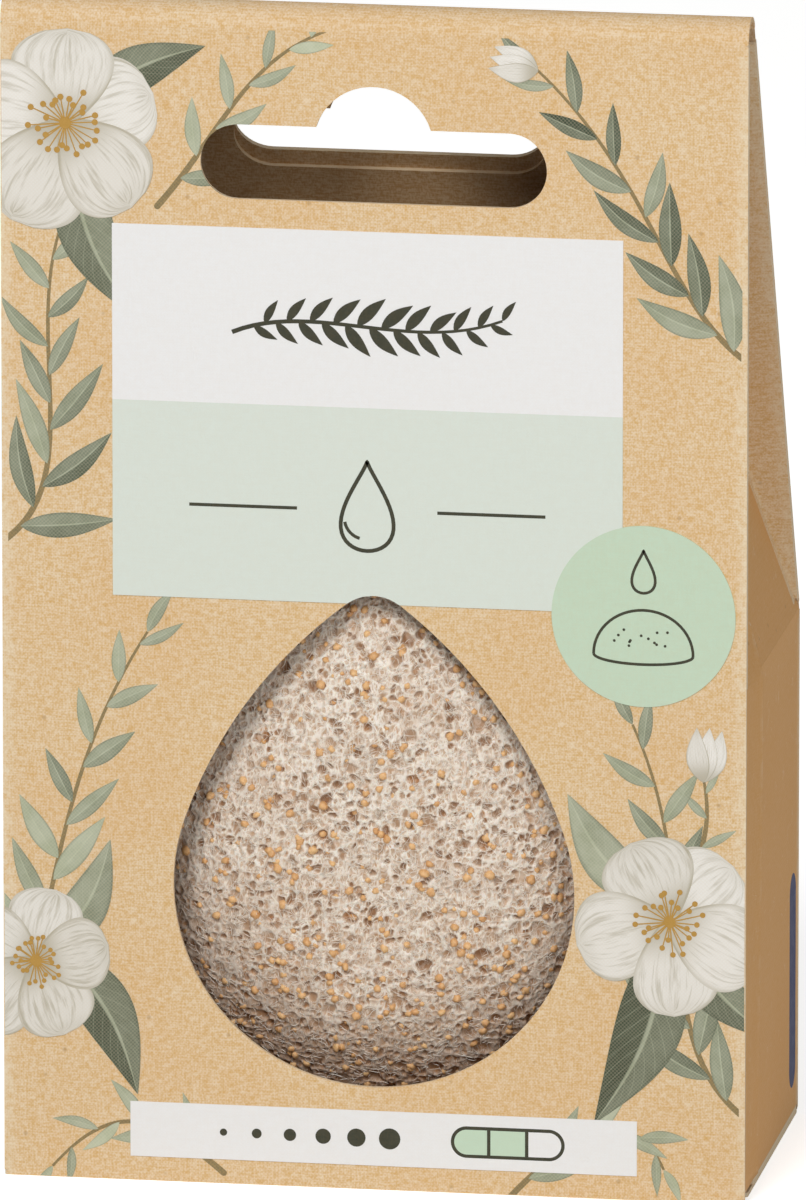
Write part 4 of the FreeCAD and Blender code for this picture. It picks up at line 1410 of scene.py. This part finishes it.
class KONJAC_OT_granules(bpy.types.Operator):
    """Scatters crumbs of ground nut shell over the foam."""

    bl_idname = "konjac.granules"
    bl_label = "Shell granules"

    def execute(self, context):
        settings = context.scene.konjac_sponge
        rng = random.Random(9)
        polygons = bpy.data.objects["sponge_foam"].data.polygons
        faces = [(part.area, part.center.copy(), part.normal.copy()) for part in polygons]
        low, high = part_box("sponge")
        smooth_area = DROP_SHARE * math.pi / 2 * (high.x - low.x) * (high.z - low.z) * DOME_SHARE
        wanted = int(smooth_area * 1e4 * settings.per_cm2)
        bm = bmesh.new()
        bm.verts.layers.float.new("tone")
        bmesh.ops.create_uvsphere(bm, u_segments=8, v_segments=5, radius=1.0)
        groups = copies(bm, wanted)
        tones = bm.verts.layers.float["tone"]
        front = nearest_front()
        for verts, (middle, normal) in zip(groups, scatter_on(faces, wanted, rng)):
            radius = settings.granule_wide / 2 * rng.choice(GRANULE_SIZES)
            centre = middle - normal * radius * rng.uniform(*GRANULE_SUNK)
            centre.y = max(centre.y, front + radius)
            angle = rng.uniform(0, FULL_TURN)
            axis = Vector((rng.random(), rng.random(), rng.random() + 0.1))
            sides = [rng.uniform(*span) for span in GRANULE_SIDES]
            shape = Matrix.Rotation(angle, 4, axis) @ Matrix.Diagonal((*sides, 1))
            place = Matrix.Translation(centre) @ shape @ Matrix.Scale(radius, 4)
            tone = rng.random()
            for vert in verts:
                vert.co = place @ (vert.co * (1 + rng.uniform(*GRANULE_DENTED)))
                vert[tones] = tone
        shell = granule_material(settings)
        make_piece("shell_granules", bm, shell, "sponge", smooth=True)
        return {"FINISHED"}


class KONJAC_OT_fibres(bpy.types.Operator):
    """Lays loose fibres over the foam and its pores, where the window shows it."""

    bl_idname = "konjac.fibres"
    bl_label = "Loose fibres"

    def execute(self, context):
        settings = context.scene.konjac_sponge
        rng = random.Random(21)
        bm = even_foam(settings.coarse_step)
        surface = bvhtree.BVHTree.FromBMesh(bm)
        middles = [part.calc_center_median() for part in bm.faces]
        faces = [
            (part.calc_area(), middle, part.normal.copy())
            for part, middle, seen in zip(bm.faces, middles, behind_window(middles))
            if seen and part.normal.y < FACING_FRONT
        ]
        bm.free()
        steps = FIBRE_STEPS
        bm = bmesh.new()
        bmesh.ops.create_cone(bm, cap_ends=True, segments=3, radius1=1, radius2=1, depth=1)
        upright = [edge for edge in bm.edges if abs(edge.verts[0].co.z - edge.verts[1].co.z) > 0.5]
        bmesh.ops.subdivide_edges(bm, edges=upright, cuts=steps - 1, use_grid_fill=True)
        front = nearest_front()
        for verts, (middle, normal) in zip(copies(bm, FIBRES), scatter_on(faces, FIBRES, rng)):
            ahead = normal.orthogonal().normalized()
            ahead.rotate(Matrix.Rotation(rng.uniform(0, FULL_TURN), 3, normal))
            bend, step = rng.uniform(*FIBRE_BEND), rng.uniform(*FIBRE_STEP_MM) * MM
            path, spot = [], middle.copy()
            for _ in range(steps + 1):
                place, out, _, _ = surface.find_nearest(spot)
                path.append((place - out * rng.uniform(*FIBRE_SUNK_MM) * MM, out.copy()))
                ahead = (ahead - out * ahead.dot(out)).normalized()
                ahead.rotate(Matrix.Rotation(bend, 3, out))
                spot = place + ahead * step
            for vert in verts:
                row = min(steps, max(0, round((vert.co.z + 0.5) * steps)))
                place, out = path[row]
                side = (path[min(row + 1, steps)][0] - path[max(row - 1, 0)][0]).cross(out)
                if side.length == 0:
                    side = out.orthogonal()
                wide = settings.fibre_wide / 2 * math.sin(math.pi * (row + 0.6) / (steps + 1.2))
                vert.co = place + (side.normalized() * vert.co.x + out * vert.co.y) * wide
                vert.co.y = max(vert.co.y, front)
        fibre = fibre_material(settings)
        make_piece("foam_fibres", bm, fibre, "sponge", smooth=True)
        return {"FINISHED"}


# Stage

# Lamps: name, the setting that holds the power, size, and azimuth and height in degrees.
# LAMP_AWAY is how far they stand from the carton's middle, which they look at.
LAMPS = (
    ("key_lamp", "key_power", 0.45, -10, 42),
    ("fill_lamp", "fill_power", 0.60, 28, 22),
)
LAMP_AWAY, LAMP_TARGET = 1.4, Vector((0, 0, 0.055))
FLOOR_RADIUS, FLOOR_GLOW = 6.0, 0.62


def white_for_camera(tree):
    """1 where a surface is seen directly, in a reflection or through glass."""
    path = add(tree, "LightPath", out=None).outputs
    seen = add(tree, "Math", (path["Is Camera Ray"], path["Is Glossy Ray"]), operation="MAXIMUM")
    return add(tree, "Math", (seen, path["Is Transmission Ray"]), operation="MAXIMUM")


def towards(azimuth, elevation):
    """A direction from the carton: azimuth to the right of the front, and height."""
    level = math.cos(elevation)
    return Vector((math.sin(azimuth) * level, -math.cos(azimuth) * level, math.sin(elevation)))


def round_lamp(name, power, size, azimuth, elevation):
    """A soft round lamp that looks at the carton."""
    lamp = place_new(name, bpy.data.lights.new(name, "AREA"))
    lamp.data.energy = power
    lamp.data.shape = "DISK"
    lamp.data.size = size
    direction = towards(math.radians(azimuth), math.radians(elevation))
    lamp.location = LAMP_TARGET + direction * LAMP_AWAY
    lamp.rotation_euler = direction.to_track_quat("Z", "Y").to_euler()


def lay_floor():
    """A wide white floor, which the camera sees brighter than the light makes it."""
    bm = bmesh.new()
    bmesh.ops.create_circle(bm, cap_ends=True, segments=96, radius=FLOOR_RADIUS)
    floor = place_new("floor", mesh_of("floor", bm))
    material = bpy.data.materials.new("floor_card")
    tree = blank_tree(material)
    matt = add(tree, "BsdfDiffuse", {"Color": linear("#F4F4F2")})
    strength = add(tree, "Math", (white_for_camera(tree), FLOOR_GLOW), **TIMES)
    glow = add(tree, "Emission", {"Strength": strength})
    add(tree, "OutputMaterial", (add(tree, "AddShader", (matt, glow)),), out=None)
    floor.data.materials.append(material)


def light_all_round(settings):
    """Even light from all round, which the camera sees as plain white."""
    world = bpy.data.worlds.new("studio")
    bpy.context.scene.world = world
    tree = blank_tree(world)
    strength = add(tree, "MapRange", (white_for_camera(tree), 0.0, 1.0, settings.sky, 1.0))
    sky = add(tree, "Background", {"Color": (1, 1, 1, 1), "Strength": strength})
    add(tree, "OutputWorld", (sky,), out=None)


def aim_camera(settings):
    """A long lens that frames the carton from corner to corner."""
    back = towards(settings.azimuth, settings.elevation)
    turn = back.to_track_quat("Z", "Y")
    axes = (turn @ Vector((1, 0, 0)), turn @ Vector((0, 1, 0)))
    points = [vert.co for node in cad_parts.values() for vert in node.data.vertices]
    spans = [[point.dot(axis) for point in points] for axis in axes]
    wide, tall = (max(span) - min(span) for span in spans)
    middles = (axis * (max(span) + min(span)) / 2 for axis, span in zip(axes, spans))
    picture_tall = max(tall, wide * IMAGE_TALL / IMAGE_WIDE) * settings.margin
    camera = place_new("camera", bpy.data.cameras.new("camera"))
    camera.data.lens = camera.data.sensor_width * settings.distance / picture_tall
    camera.data.clip_start, camera.data.clip_end = 0.1, 50.0
    camera.location = sum(middles, Vector()) + back * settings.distance
    camera.rotation_euler = turn.to_euler()
    bpy.context.scene.camera = camera


class KONJAC_OT_stage(bpy.types.Operator):
    """Sets up the floor, the light and the camera."""

    bl_idname = "konjac.stage"
    bl_label = "Stage"

    def execute(self, context):
        settings = context.scene.konjac_studio
        context.scene.view_settings.view_transform = "Standard"
        lay_floor()
        light_all_round(settings)
        aim_camera(settings)
        for name, power, size, azimuth, elevation in LAMPS:
            round_lamp(name, getattr(settings, power), size, azimuth, elevation)
        return {"FINISHED"}


class KONJAC_PT_carton(bpy.types.Panel):
    """Sizes and colours of the sponge and its carton, and the steps that make them."""

    bl_label = "Konjac Sponge Carton"
    bl_idname = "KONJAC_PT_carton"
    bl_space_type = "VIEW_3D"
    bl_region_type = "UI"
    bl_category = "Sponge Carton"

    def draw(self, context):
        for operator in STEPS:
            self.layout.operator(operator.bl_idname)
        for group in GROUPS:
            box = self.layout.box()
            for name in GROUPS[group].__annotations__:
                box.prop(getattr(context.scene, group), name)


GROUPS = {
    "konjac_board": BoardSettings,
    "konjac_print": PrintSettings,
    "konjac_sponge": SpongeSettings,
    "konjac_studio": StudioSettings,
}
STEPS = (
    KONJAC_OT_stage,
    KONJAC_OT_board,
    KONJAC_OT_label,
    KONJAC_OT_badge,
    KONJAC_OT_strip,
    KONJAC_OT_sprigs,
    KONJAC_OT_side_bar,
    KONJAC_OT_sponge,
    KONJAC_OT_granules,
    KONJAC_OT_fibres,
)


def register():
    for group, settings in GROUPS.items():
        bpy.utils.register_class(settings)
        setattr(bpy.types.Scene, group, bpy.props.PointerProperty(type=settings))
    for operator in STEPS:
        bpy.utils.register_class(operator)
    bpy.utils.register_class(KONJAC_PT_carton)


def unregister():
    bpy.utils.unregister_class(KONJAC_PT_carton)
    for operator in reversed(STEPS):
        bpy.utils.unregister_class(operator)
    for group, settings in GROUPS.items():
        delattr(bpy.types.Scene, group)
        bpy.utils.unregister_class(settings)


def main():
    register()
    bpy.ops.konjac.stage()
    bpy.ops.konjac.board()
    bpy.ops.konjac.label()
    bpy.ops.konjac.badge()
    bpy.ops.konjac.strip()
    bpy.ops.konjac.sprigs()
    bpy.ops.konjac.side_bar()
    bpy.ops.konjac.sponge()
    bpy.ops.konjac.granules()
    bpy.ops.konjac.fibres()


if __name__ == "__main__":
    main()
